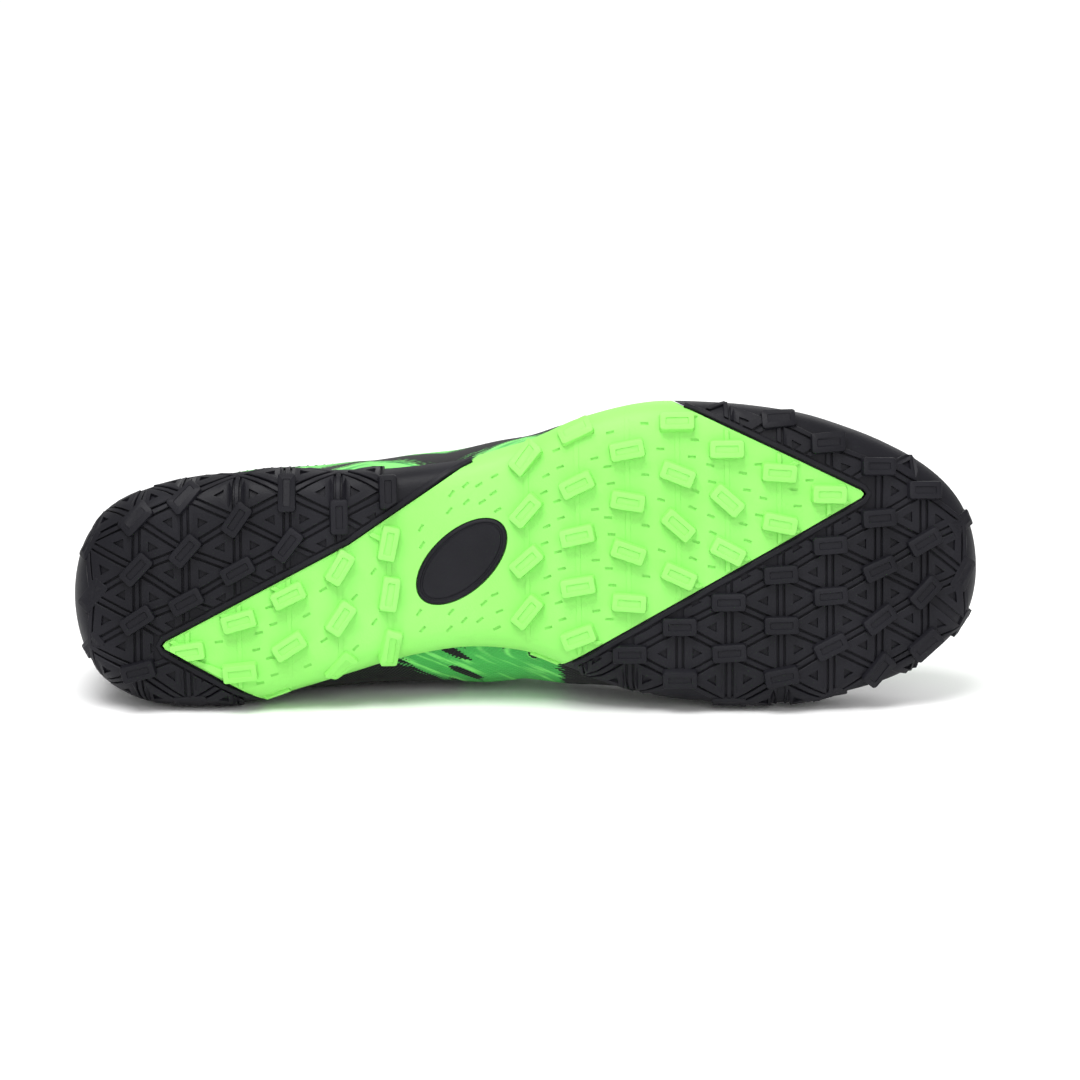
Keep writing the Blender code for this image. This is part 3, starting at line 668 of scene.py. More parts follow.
@dataclass(frozen=True)
class BrushPrint:
    """Fine knit with a brushed zigzag print of two greens on black."""

    name: str = "printed_mesh"
    ground: Colour = (0.006, 0.006, 0.007, 1)
    pale: Colour = (0.055, 0.058, 0.062, 1)
    lime: Colour = (0.19, 0.70, 0.15, 1)
    # leaf, the darker green, is also laid on as painted shade on the low side near the floor
    leaf: Colour = (0.055, 0.38, 0.07, 1)
    zig_length: float = 2.6
    zig_height: float = 2.3
    band: float = 2.0
    across_share: float = 0.55
    low_side: tuple[float, float] = (0.014, 0.034)
    low_rise: float = 1.3
    low_slant: float = 0.55
    low_patch: tuple[float, float, float, float] = (-2.4, -0.9, 0.4, 1.7)
    paint_edge: tuple[float, float] = (1.03, 1.06)
    hatch_edge: tuple[float, float] = (0.93, 0.97)
    hatch_pitch: float = 0.07
    row_pitch: float = 0.07
    cross_pitch: float = 0.10
    knit_depth: float = 0.2 * MM
    roughness: float = 0.72

    def brushed(self, nodes: Nodes) -> tuple[Value, Value]:
        """The print, in strokes that zigzag over the shoe and slant on the arch's low side, with
        painted shade: its darker green, leaf, takes more of the low side near the floor.

        Args:
            nodes: The material's tree.

        Returns:
            How much of the print covers a point, and the print's colour there.
        """
        place_in = nodes.place()
        wale, course, _ = nodes.split(nodes.layout())
        x, y, z = nodes.split(place_in)
        along = x * 100.0
        over = (y + z * self.across_share) * 100.0
        drift = nodes.noise(place_in, 14.0, 0.0)
        low = 1 - z.step(*self.low_side)
        high_stroke = over + along.wave(self.zig_length) * self.zig_height + drift * 0.5
        low_stroke = (z * 100.0 + y * 20.0) * self.low_rise + along * self.low_slant
        stroke = high_stroke + low * (low_stroke - high_stroke)
        bristle = nodes.noise(nodes.join(stroke * 8.0, along * 0.8), 1.0, 2.0)
        patch = nodes.noise(place_in, 20.0, 0.0)
        begins, full, ends, bare = self.low_patch
        arch = (along + z * 200.0).step(begins, full) * (1 - along.step(ends, bare))
        bands = stroke.wave(self.band) * 0.75
        gash = nodes.noise(nodes.join(stroke * 2.2, along * 0.35, 7.0), 1.0, 1.0)
        gash = gash.step(0.52, 0.66) * 0.5
        body = bands + low * (arch * 0.58 - gash - bands) + patch * 0.55 + bristle * 0.75
        lines = (course * 0.9 + wale * 0.6).wave(self.hatch_pitch)
        hatch = body.step(*self.hatch_edge) * lines.step(0.4, 0.6)
        shade = nodes.noise(nodes.join(stroke * 4.0, along * 0.6, 2.0), 1.0, 2.0)
        # painted shade: low * 0.12 gives the darker green, leaf, more of the low side near the
        # floor
        green = nodes.mix((shade + low * 0.12).step(0.45, 0.62), self.lime, self.leaf)
        return body.step(*self.paint_edge).most(hatch), green

    def knitted(self, nodes: Nodes) -> tuple[Value, Value]:
        """The bare knit, by the upper's own map.

        Args:
            nodes: The material's tree.

        Returns:
            The height of its loops, 0 to 1, and its dark colour with pale flecks.
        """
        wale, course, _ = nodes.split(nodes.layout())
        rows = (wale + course * 0.8).wave(self.row_pitch)
        cross = (wale - course * 1.4).wave(self.cross_pitch)
        fleck = rows.step(0.7, 0.95) * nodes.noise(nodes.place(), 60.0).step(0.45, 0.7)
        return rows * 0.6 + cross * 0.4, nodes.mix(fleck * 0.5, self.ground, self.pale)

    def material(self) -> Material:
        """The finish as a material."""
        nodes = Nodes(self.name)
        mask, green = self.brushed(nodes)
        knit, dark = self.knitted(nodes)
        nodes.set(
            Base_Color=nodes.mix(mask, dark, green),
            Roughness=self.roughness - mask * 0.2 + knit * 0.08,
            Normal=nodes.relief(knit + mask * 0.35, self.knit_depth),
            Specular_IOR_Level=0.25,
            Sheen_Weight=0.04,
            Sheen_Roughness=0.5,
        )
        return nodes.material


@dataclass(frozen=True)
class Cloth:
    """Woven or knitted cloth of one colour, by object coordinates, with painted shade: paler on the
    weave's raised threads and darker in its hollows.
    """

    name: str
    colour: Colour
    # the paler colour: a painted highlight on the weave's raised threads, and soft random patches
    paler: Colour
    pitch: float = 1.1 * MM
    roughness: float = 0.86
    depth: float = 0.18 * MM

    def material(self) -> Material:
        """The finish as a material."""
        nodes = Nodes(self.name)
        place_in = nodes.place()
        x, y, z = nodes.split(place_in)
        rows = (x + y * 0.4).wave(self.pitch)
        columns = (z + y * 0.7).wave(self.pitch * 0.9)
        weave = rows * columns + rows * 0.3
        cloud = nodes.noise(place_in, 45.0, 4.0)
        nodes.set(
            # painted highlight and shade: paler on the weave's raised threads, darker in its
            # hollows, with soft random patches from the cloud
            Base_Color=nodes.mix(weave * 0.5 + cloud.step(0.3, 0.8) * 0.5,
                                 self.colour, self.paler),
            Roughness=cloud * 0.1 + (self.roughness - 0.05),
            Normal=nodes.relief(weave, self.depth),
            Specular_IOR_Level=0.25,
            Sheen_Weight=0.08,
            Sheen_Roughness=0.4,
        )
        return nodes.material


@dataclass(frozen=True)
class Film:
    """A smooth synthetic overlay with a fine pebble grain."""

    name: str = "overlay_film"
    colour: Colour = (0.007, 0.007, 0.008, 1)
    paler: Colour = (0.016, 0.016, 0.018, 1)
    roughness: float = 0.38
    grain_scale: float = 1300.0
    grain_depth: float = 0.05 * MM

    def material(self) -> Material:
        """The finish as a material."""
        nodes = Nodes(self.name)
        place_in = nodes.place()
        pebble = nodes.add("ShaderNodeTexVoronoi", {"Vector": place_in, "Scale": self.grain_scale})
        cloud = nodes.noise(place_in, 60.0, 3.0)
        nodes.set(
            Base_Color=nodes.mix(cloud.step(0.4, 0.8), self.colour, self.paler),
            Roughness=cloud * 0.15 + self.roughness,
            Normal=nodes.relief(pebble, self.grain_depth),
            Specular_IOR_Level=0.3,
        )
        return nodes.material


@dataclass(frozen=True)
class Braid:
    """A flat braided lace: slanting strands that cross along it."""

    name: str = "lace_cloth"
    colour: Colour = (0.16, 0.72, 0.12, 1)
    shade: Colour = (0.06, 0.36, 0.05, 1)
    pitch: float = 0.11
    depth: float = 0.25 * MM

    def material(self) -> Material:
        """The finish as a material."""
        nodes = Nodes(self.name)
        along, across, _ = nodes.split(nodes.layout())
        left = (along + across).wave(self.pitch)
        right = (along - across).wave(self.pitch)
        strand = left * right
        nodes.set(
            Base_Color=nodes.mix(strand.step(0.0, 0.5), self.shade, self.colour),
            Roughness=0.8 - strand * 0.1,
            Normal=nodes.relief(strand, self.depth),
        )
        return nodes.material


@dataclass(frozen=True)
class Floor:
    """A plain pale studio floor."""

    colour: Colour = (0.93, 0.93, 0.93, 1)
    glow: Colour = (0.46, 0.46, 0.46, 1)
    glow_from: float = 0.45
    glow_full: float = 2.1
    half: float = 12.0

    def build(self) -> Object:
        """Lays the floor under the shoe, which is lit from within far behind it."""
        nodes = Nodes("pale_floor")
        place_in = nodes.place()
        _, behind, _ = nodes.split(place_in)
        cloud = nodes.noise(place_in, 3.0)
        nodes.set(
            Base_Color=self.colour,
            Roughness=cloud * 0.05 + 0.6,
            Emission_Color=nodes.mix(
                behind.step(self.glow_from, self.glow_full), (0, 0, 0, 1), self.glow
            ),
            Emission_Strength=1.0,
        )
        mesh = bmesh.new()
        ops.create_grid(mesh, x_segments=4, y_segments=4, size=self.half)
        floor = show("floor", mesh, [nodes.material])
        return floor


BLACK_RUBBER = Rubber("black_rubber", (0.0062, 0.006, 0.0085, 1), (0.017, 0.0165, 0.0215, 1),
                      0.50, 0.15)
GREEN_RUBBER = Rubber("green_rubber", (0.245, 0.68, 0.125, 1), (0.29, 0.76, 0.165, 1), 0.5, 0.2)
KNIT_CLOTH = Cloth("tongue_cloth", (0.014, 0.014, 0.016, 1), (0.05, 0.05, 0.054, 1))
SOCK_CLOTH = Cloth("sock_cloth", (0.02, 0.02, 0.022, 1), (0.06, 0.06, 0.064, 1), 1.4 * MM)
LINING_CLOTH = Cloth("lining_cloth", (0.018, 0.018, 0.02, 1), (0.055, 0.055, 0.06, 1),
                     0.9 * MM)
THREAD = Cloth("thread", (0.03, 0.03, 0.033, 1), (0.09, 0.09, 0.1, 1), 0.6 * MM)
Finish = Rubber | BrushPrint | Cloth | Film | Braid


# Mesh helpers


def show(
    name: str,
    mesh: BMesh,
    materials: Sequence[Material],
    sharp: float = 38.0,
) -> Object:
    """Makes an object of a bmesh and frees it.

    Args:
        name: The object's name.
        mesh: The mesh, in the row frame.
        materials: Its materials, by slot.
        sharp: The angle in degrees past which an edge stays sharp.

    Returns:
        The object.
    """
    data = bpy.data.meshes.new(name)
    mesh.to_mesh(data)
    mesh.free()
    for material in materials:
        data.materials.append(material)
    data.shade_smooth()
    data.set_sharp_from_angle(angle=math.radians(sharp))
    item = bpy.data.objects.new(name, data)
    bpy.context.scene.collection.objects.link(item)
    return item


def hidden(name: str, mesh: BMesh) -> Object:
    """A cutter: an object that no render shows."""
    item = show(name, mesh, [])
    item.hide_render = True
    return item


def sheet_of(
    point: PlanePoint, columns: int, rows: int, layout: PlanePoint | None = None
) -> BMesh:
    """A grid whose vertices are moved on to a surface.

    Args:
        point: The surface, from the shares along and across, each 0 to 1.
        columns: The faces along.
        rows: The faces across.
        layout: The map's place in centimetres, from the same shares.

    Returns:
        The sheet.
    """
    mesh = bmesh.new()
    made = ops.create_grid(
        mesh, x_segments=columns, y_segments=rows, size=0.5,
        matrix=Matrix.Translation((0.5, 0.5, 0.0)),
    )["verts"]
    if layout is not None:
        uv = mesh.loops.layers.uv.new("layout")
        for face in mesh.faces:
            for loop in face.loops:
                loop[uv].uv = layout(loop.vert.co.x, loop.vert.co.y)[:2]
    for vert in made:
        vert.co = point(vert.co.x, vert.co.y)
    return mesh


def inset(mesh: BMesh, face: BMFace, thickness: float, rise: float) -> None:
    """Insets a level face evenly and lifts what is left of it."""
    ops.inset_region(mesh, faces=[face], thickness=thickness, use_even_offset=True)
    ops.translate(mesh, vec=(0, 0, rise), verts=face.verts)


def extruded(mesh: BMesh, face: BMFace) -> BMFace:
    """Extrudes a face and gives the new face, still in the old one's place."""
    made = ops.extrude_face_region(mesh, geom=[face])["geom"]
    return next(item for item in made if isinstance(item, BMFace))


def round_off(mesh: BMesh, edges: Sequence[BMEdge], radius: float, segments: int) -> None:
    """Bevels edges round."""
    ops.bevel(mesh, geom=edges, offset=radius, segments=segments, profile=0.5,
              affect="EDGES", material=-1)


def shrunk(mesh: BMesh, face: BMFace, shares: tuple[float, float], rise: float) -> BMFace:
    """Replaces a level face round the origin by a smaller one inside it.

    Args:
        mesh: The mesh.
        face: The face.
        shares: Its new size along x and y, as shares of the old one.
        rise: How far it is lifted.

    Returns:
        The smaller face.
    """
    smaller = extruded(mesh, face)
    ops.delete(mesh, geom=[face], context="FACES_ONLY")
    ops.scale(mesh, vec=(*shares, 1), verts=smaller.verts)
    ops.translate(mesh, vec=(0, 0, rise), verts=smaller.verts)
    return smaller


def closed(mesh: BMesh) -> BMesh:
    """Welds a rolled-up sheet, fills its ends and turns its faces outwards."""
    ops.remove_doubles(mesh, verts=mesh.verts, dist=WELD)
    ops.dissolve_degenerate(mesh, edges=mesh.edges, dist=WELD)
    ops.holes_fill(mesh, edges=mesh.edges, sides=0)
    ops.recalc_face_normals(mesh, faces=mesh.faces)
    return mesh


def merged(meshes: Sequence[BMesh]) -> BMesh:
    """Several bmeshes as one, all but the result freed."""
    whole = bmesh.new()
    for mesh in meshes:
        pour(mesh, whole)
        mesh.free()
    return whole


def pour(mesh: BMesh, into: BMesh) -> None:
    """Adds a bmesh to another."""
    passing = bpy.data.meshes.new("passing")
    mesh.to_mesh(passing)
    into.from_mesh(passing)
    bpy.data.meshes.remove(passing)


def joined_sides(
    point: SidePoint, columns: int, rows: int, layout: SidePoint | None = None,
    weld: float = WELD, turned: bool = True,
) -> BMesh:
    """A sheet for each side of the shoe, joined where the two meet.

    Args:
        point: The surface, from the side and the shares along and across.
        columns: The faces along each side.
        rows: The faces across each side.
        layout: The map's place in centimetres, from the same three.
        weld: How near two vertices become one.
        turned: Whether the medial side's faces are turned to face as the lateral side's do.

    Returns:
        The sheet.
    """
    halves = []
    for side in Side:
        half = sheet_of(partial(point, side), columns, rows, layout and partial(layout, side))
        if turned and side is Side.MEDIAL:
            ops.reverse_faces(half, faces=half.faces)
        halves.append(half)
    whole = merged(halves)
    ops.remove_doubles(whole, verts=whole.verts, dist=weld)
    ops.dissolve_degenerate(whole, edges=whole.edges, dist=WELD)
    return whole


def press(mesh: BMesh, thickness: float = 0.2 * MM) -> None:
    """Presses a soft piece, where it lies, flat where it would reach under the floor."""
    for vert in mesh.verts:
        if vert.co.z < thickness:
            vert.co.z = thickness * (0.6 + 0.4 * max(vert.co.z, 0.0) / thickness)


def lay_down(
    name: str, mesh: BMesh, world: Matrix, finishes: Sequence[Finish],
    sharp: float = 38.0, pressed: bool = False,
) -> Object:
    """Lays a piece of the standing shoe down and makes it an object.

    Args:
        name: The piece's name.
        mesh: Its mesh on the standing shoe, which is freed.
        world: The way from the standing shoe to where it lies.
        finishes: Its finishes, by slot.
        sharp: The angle in degrees past which an edge stays sharp.
        pressed: Whether the floor presses it flat.

    Returns:
        The piece.
    """
    ops.transform(mesh, matrix=world, verts=mesh.verts)
    if pressed:
        press(mesh)
    return show(name, mesh, [finish.material() for finish in finishes], sharp)


def thicken(piece: Object, thickness: float, offset: float, slots_on: int = 0) -> None:
    """Gives a sheet its thickness.

    Args:
        piece: The sheet.
        thickness: How thick it becomes.
        offset: -1 to grow it inwards only, 0 to grow it to both sides.
        slots_on: How many slots past the outer side's finish the inner side's is.
    """
    wall = piece.modifiers.new("wall", "SOLIDIFY")
    wall.thickness = thickness
    wall.offset = offset
    wall.material_offset = slots_on


def evaluated(item: Object) -> BMesh:
    """An object's mesh as its modifiers leave it, with the object removed."""
    bpy.context.view_layer.update()
    made = item.evaluated_get(bpy.context.evaluated_depsgraph_get())
    mesh = bmesh.new()
    mesh.from_mesh(made.to_mesh())
    made.to_mesh_clear()
    bpy.data.objects.remove(item)
    return mesh


def boolean(item: Object, operation: str, other: Object) -> None:
    """Adds an exact Boolean with another object to an object."""
    modifier = item.modifiers.new(operation.lower(), "BOOLEAN")
    modifier.operation = operation
    modifier.solver = "EXACT"
    modifier.object = other


def wear(piece: Object, slot: str, *nodes: str) -> Object:
    """Lets a finished piece ride on the shoe's body.

    Args:
        piece: The piece.
        slot: The record's slot that it is made of; not used.
        nodes: The CAD nodes that it stands for.

    Returns:
        The piece.
    """
    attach(piece, BODY)
    if nodes:
        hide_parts(*nodes)
    LOG.info("%s: %d faces", piece.name, len(piece.data.polygons))
    return piece


# The outsole and its badge


class LugColumn(NamedTuple):
    """One column of lugs: the most lateral one's offset and each lug's heading."""

    station: float
    first: float
    headings: tuple[float, ...]


class Corner(NamedTuple):
    """A corner in plan, as shares of the length and the ball width."""

    station: float
    offset: float


LUG_COLUMNS = tuple(starmap(LugColumn, (
    (0.022, 0.130, (60, 50, 40)),
    (0.074, 0.216, (45, 46, 32, 15)),
    (0.128, 0.274, (45, 48, 27, 8, 5)),
    (0.185, 0.206, (55, 28, 15, 5)),
    (0.240, 0.288, (90, 52, 25, 32, 15)),
    (0.296, 0.210, (90, 58, 55, 50)),
    (0.350, 0.285, (90, 78, 80, 75)),
    (0.502, 0.386, (48, 48, 40, 50)),
    (0.558, 0.470, (25, 25, 12, 9, 20)),
    (0.613, 0.414, (10, -10, -20, -5, 0)),
    (0.668, 0.500, (0, -22, -42, -25, 0, 0)),
    (0.722, 0.412, (0, -42, -28, 0, 3, 0)),
    (0.779, 0.500, (4, -5, -12, 3, 0, 10)),
    (0.833, 0.426, (0, -2, 3, 3, 25, 40)),
    (0.887, 0.344, (0, 3, 22, 35, 50)),
    (0.938, 0.262, (0, 28, 45, 40)),
    (0.982, 0.150, (30, 60, 70)),
)))
HEEL_CORNERS = (
    Corner(0.518, 0.530), Corner(0.307, 0.117), Corner(0.096, -0.204), Corner(0.270, -0.500),
)
TOE_CORNERS = (
    Corner(0.476, -0.396), Corner(0.877, 0.257), Corner(0.800, 0.372), Corner(0.600, 0.660),
)


@dataclass
class Divide:
    """One dividing line of the outsole in plan. The centre piece lies to its left."""

    points: list[Vector]

    @classmethod
    def through(cls, form: ShoeForm, corners: Sequence[Corner], tip: int) -> Divide:
        """A line through corners, with the tip among them rounded off.

        Args:
            form: The shoe's form.
            corners: The corners, from the medial or lateral side to the other.
            tip: Which of them is the tip.

        Returns:
            The line.
        """
        reach_mm, ease = 2.5, 0.3
        places = [Vector((c.station * form.length, c.offset * form.ball_width)) for c in corners]
        sharp = places[tip]
        back = (places[tip - 1] - sharp).normalized() * reach_mm * MM
        ahead = (places[tip + 1] - sharp).normalized() * reach_mm * MM
        rounded = [sharp + back, sharp + (back + ahead) * ease, sharp + ahead]
        return cls(places[:tip] + rounded + places[tip + 1:])

    def feet(self, spot: Vector) -> list[tuple[float, Vector, Vector]]:
        """The nearest point of each of the line's lengths.

        Args:
            spot: A point in plan.

        Returns:
            For each, its distance, signed and positive outside the centre piece, the nearest
            point and the outward direction there. At a corner that lies between the lengths'.
        """
        ways = [(b - a).normalized() for a, b in zip(self.points, self.points[1:])]
        normals = [Vector((way.y, -way.x)) for way in ways]
        found = []
        for i, (a, b) in enumerate(zip(self.points, self.points[1:])):
            share = (spot - a).dot(b - a) / (b - a).length_squared
            outward = normals[i].copy()
            if share <= 0 and i > 0:
                outward = (normals[i - 1] + normals[i]).normalized()
            if share >= 1 and i < len(normals) - 1:
                outward = (normals[i] + normals[i + 1]).normalized()
            foot = a.lerp(b, min(max(share, 0.0), 1.0))
            gap = math.copysign((spot - foot).length, (spot - foot).dot(outward))
            found.append((gap, foot, outward))
        return found

    def nearest(self, spot: Vector) -> tuple[float, Vector, Vector]:
        """The nearest point of the whole line, in the same form."""
        return min(self.feet(spot), key=lambda found: abs(found[0]))

    def walk(self, step: float) -> list[Vector]:
        """Points along the line about a step apart."""
        found = []
        for a, b in zip(self.points, self.points[1:]):
            count = max(1, round((b - a).length / step))
            found += [a.lerp(b, i / count) for i in range(count)]
        return found + [self.points[-1]]


class Ground:
    """The sole's outside unrolled: plan points run on round the rim and up the side wall."""

    insets_mm: tuple[float, ...] = (9.0, 7.0, 5.0, 3.5, 2.5, 1.6, 0.9, 0.4)
    inner: float = insets_mm[0] * MM
    sections: int = 120
    wall_rows: int = 8

    def __init__(self, form: ShoeForm, blank: BMesh) -> None:
        """Measures the rim's section all round the sole.

        Args:
            form: The shoe's form.
            blank: The sole without its tread.
        """
        self.tree = BVHTree.FromBMesh(blank)
        self.rims: list[tuple[Vector, Vector, list[Vector], list[float]]] = []
        for side in Side:
            for i in range(1, self.sections):
                rim, outward = form.outline(side, station_at(i / self.sections), 0.0)
                self.rims.append((rim, outward, *self._section(form, rim, outward)))
        self.near = KDTree(len(self.rims))
        for i, (rim, *_) in enumerate(self.rims):
            self.near.insert((rim.x, rim.y, 0.0), i)
        self.near.balance()

    def _section(
        self, form: ShoeForm, rim: Vector, outward: Vector
    ) -> tuple[list[Vector], list[float]]:
        """The sole's outside at one place of the rim, from under it to the top of its wall.

        Args:
            form: The shoe's form.
            rim: The place in plan.
            outward: The outward direction there.

        Returns:
            The section's points, and each one's distance from the first along it.
        """
        line = []
        for margin in self.insets_mm:
            plan = rim - outward * margin * MM
            line.append(self.down(plan.x, plan.y)[0])
        wall = form.top(rim.x) - 1.5 * MM
        low = line[-1].z
        away = place(rim.x + outward.x * FAR, rim.y + outward.y * FAR, 0)
        for i in range(1, self.wall_rows + 1):
            start = Vector((away.x, away.y, low + (wall - low) * i / self.wall_rows))
            hit = self.tree.ray_cast(start, place(-outward.x, -outward.y, 0))[0]
            if hit is not None:
                line.append(hit)
        lengths = [0.0]
        for a, b in zip(line, line[1:]):
            lengths.append(lengths[-1] + (b - a).length)
        return line, lengths

    def down(self, x: float, lateral: float) -> tuple[Vector, Vector] | tuple[None, None]:
        """The underside straight over a plan point, and its outward direction."""
        hit, normal, _, _ = self.tree.ray_cast(place(x, lateral, -FAR), Vector((0, 0, 1)))
        return hit, normal

    def depth(self, x: float, lateral: float) -> float:
        """How far an unrolled point lies inside the rim."""
        _, index, _ = self.near.find((x, lateral, 0.0))
        rim, outward, *_ = self.rims[index]
        return (rim - Vector((x, lateral))).dot(outward)

    def lay(self, x: float, lateral: float) -> tuple[Vector, Vector, float]:
        """Lays an unrolled point on the sole.

        Args:
            x: The distance from the heel.
            lateral: The lateral offset, past the rim for a point on the wall.

        Returns:
            The point, the outward direction and how far the point ran past the wall's top.
        """
        _, index, _ = self.near.find((x, lateral, 0.0))
        rim, outward, line, lengths = self.rims[index]
        away = Vector((x, lateral)) - rim
        depth = -away.dot(outward)
        if depth >= self.inner:
            hit, normal = self.down(x, lateral)
            if hit is not None:
                return hit, normal, 0.0
        walked = min(self.inner - depth, lengths[-1])
        i = min(max(bisect_right(lengths, walked) - 1, 0), len(line) - 2)
        share = (walked - lengths[i]) / max(lengths[i + 1] - lengths[i], WELD)
        way = (line[i + 1] - line[i]).normalized()
        flat = away + outward * depth
        along = place(flat.x, flat.y, 0)
        side = place(-outward.y, outward.x, 0)
        normal = side.cross(way).normalized()
        if normal.dot(place(outward.x, outward.y, -1)) < 0:
            normal.negate()
        over = max(self.inner - depth - lengths[-1], 0.0)
        return line[i].lerp(line[i + 1], share) + along, normal, over

    def unroll(self, spot: Vector) -> Vector:
        """Unrolls a point.

        Args:
            spot: A point on the sole.

        Returns:
            Its unrolled place.
        """
        plan = Vector((spot.x, -spot.y))
        _, index, _ = self.near.find((plan.x, plan.y, 0.0))
        rim, outward, line, lengths = self.rims[index]
        depth = (rim - plan).dot(outward)
        if depth >= self.inner:
            return plan
        i = min(range(len(line)), key=lambda k: (line[k] - spot).length)
        return plan + outward * (depth - self.inner + lengths[i])


@dataclass(frozen=True)
class Dash:
    """The short dashes sunk into the centre piece, in two rows between each pair of columns."""

    length: float = 2.5 * MM
    width: float = 0.85 * MM
    depth: float = 0.5 * MM
    pitch: float = 5.4 * MM
    sway: float = 0.8 * MM
    lug_gap: float = 6.9 * MM
    border: float = 4 * MM
    facing: float = -0.93
    turn_share: float = 0.7
    aside: float = 0.0085
    waist_rows: tuple[float, ...] = (0.385, 0.451, 0.468)
    reach: int = 9

    def rows(self) -> list[float]:
        """The rows' stations."""
        stations = [column.station for column in LUG_COLUMNS]
        return [(a + b) / 2 + aside for a, b in zip(stations, stations[1:])
                for aside in (-self.aside, self.aside)] + [*self.waist_rows]


@dataclass
class Outsole:
    """The outsole's three rubber pieces, with lugs, ribs, pads and dimples."""

    form: ShoeForm
    world: Matrix
    lug_length: float = 11.5 * MM
    lug_width: float = 6.2 * MM
    lug_root: float = 1.2 * MM
    lug_draft: float = 0.7 * MM
    lug_corner: float = 1.0 * MM
    lug_edge: float = 0.28 * MM
    lug_reach: float = 0.35
    slot_length: float = 7.8 * MM
    slot_width: float = 2.6 * MM
    slot_depth: float = 0.4 * MM
    slot_draft: tuple[float, float] = (0.95, 0.86)
    edge_loss: float = 1.7
    edge_least: float = 0.34
    end_reach: float = 13 * MM
    rim_facing: float = -0.95
    pitch: float = 16.2 * MM
    rib_width: float = 1.5 * MM
    rib_height: float = 0.95 * MM
    pad_height: float = 1.15 * MM
    pad_run: float = 3.5 * MM
    chamfer: float = 0.2 * MM
    groove: float = 0.60 * MM
    dimple_radius: float = 1.0 * MM
    dimple_wall: float = 0.12 * MM
    dimple_depth: float = 0.9 * MM
    band_width: float = 1.9 * MM
    band_gap: float = 0.35 * MM
    band_inset: float = 0.3 * MM
    band_step: float = 2.0 * MM
    piece_gap: float = 0.64 * MM
    over_wall: float = 2.5 * MM
    sink: float = 0.6 * MM
    bare_part: tuple[float, float] = (0.70, 0.985)
    bare_width: float = 2.6 * MM
    columns: int = 170
    green_share: float = 0.2
    least_share: float = 0.2
    rib_steps: int = 5
    dash: Dash = Dash()
    ground: Ground = field(init=False)
    zones: dict[Zone, BMesh] = field(init=False)
    divides: dict[Zone, Divide] = field(init=False)

    def height(self, x: float, rise: float) -> float:
        """A section's height on the sole."""
        low = self.form.underside(x)
        return low + rise * (self.form.top(x) - low)

    def build(self, badge: Badge) -> list[Object]:
        """Makes the three pieces.

        Args:
            badge: The badge, which is let into the centre piece.

        Returns:
            The pieces, heel first.
        """
        blank = slab(self.form, SOLE_SECTION, 0.0, self.columns, self.height)
        self.ground = Ground(self.form, blank)
        self.divides = {
            Zone.HEEL: Divide.through(self.form, HEEL_CORNERS, 2),
            Zone.TOE: Divide.through(self.form, TOE_CORNERS, 1),
        }
        self.zones = {zone: self.body(zone, blank, badge) for zone in Zone}
        blank.free()
        self.add_lugs()
        self.add_lattice()
        for zone in (Zone.HEEL, Zone.TOE):
            self.add_band(zone)
        finishes = {Zone.HEEL: BLACK_RUBBER, Zone.CENTRE: GREEN_RUBBER, Zone.TOE: BLACK_RUBBER}
        pieces = []
        for zone, mesh in self.zones.items():
            finish = finishes[zone]
            name = zone.value.replace("outsole", "rubber")
            piece = lay_down(name, mesh, self.world, [finish], 30.0)
            pieces.append(wear(piece, finish.name, zone.value))
        return pieces

    def body(self, zone: Zone, blank: BMesh, badge: Badge) -> BMesh:
        """Cuts one piece out of the blank.

        Args:
            zone: The piece.
            blank: The sole without its tread.
            badge: The badge, whose seat is cut too.

        Returns:
            The piece's mesh.
        """
        piece = hidden("zone", blank.copy())
        cutter = self.cutter(zone)
        boolean(piece, "INTERSECT", cutter)
        helpers = [cutter]
        if zone is Zone.CENTRE:
            helpers += [badge.seat(self.form), self.dashes(badge)]
            for helper in helpers[1:]:
                boolean(piece, "DIFFERENCE", helper)
        mesh = evaluated(piece)
        for helper in helpers:
            bpy.data.objects.remove(helper)
        return mesh

    def dashes(self, badge: Badge) -> Object:
        """Makes the cutter of the short dashes.

        Args:
            badge: The badge, which they stay clear of.

        Returns:
            The cutter.
        """
        dash = self.dash
        lugs = [
            (self.lug_plan(column, i), math.radians(heading))
            for column in LUG_COLUMNS for i, heading in enumerate(column.headings)
        ]
        mesh = bmesh.new()
        for number, station in enumerate(dash.rows()):
            for i in range(-dash.reach, dash.reach + 1):
                spot = Vector((station * self.form.length, (i + 0.5 * (number % 2)) * dash.pitch))
                spot.x += dash.sway * math.sin(2.1 * i + 40 * station)
                near = sorted(lugs, key=lambda lug: (lug[0] - spot).length)[:3]
                if (near[0][0] - spot).length < dash.lug_gap or badge.covers(self.form, spot):
                    continue
                if max(divide.nearest(spot)[0] for divide in self.divides.values()) > -dash.border:
                    continue
                face, outward = self.ground.down(spot.x, spot.y)
                if face is None or outward.z > dash.facing:
                    continue
                turn = sum((heading for _, heading in near), 0.0) / 3 * dash.turn_share
                sunk = ops.create_cube(mesh, size=1.0)["verts"]
                ops.scale(mesh, vec=(dash.length, dash.width, 2 * dash.depth), verts=sunk)
                stand = Matrix.Translation(face) @ Matrix.Rotation(-turn, 4, "Z")
                ops.transform(mesh, matrix=stand, verts=sunk)
        return hidden("dashes", mesh)

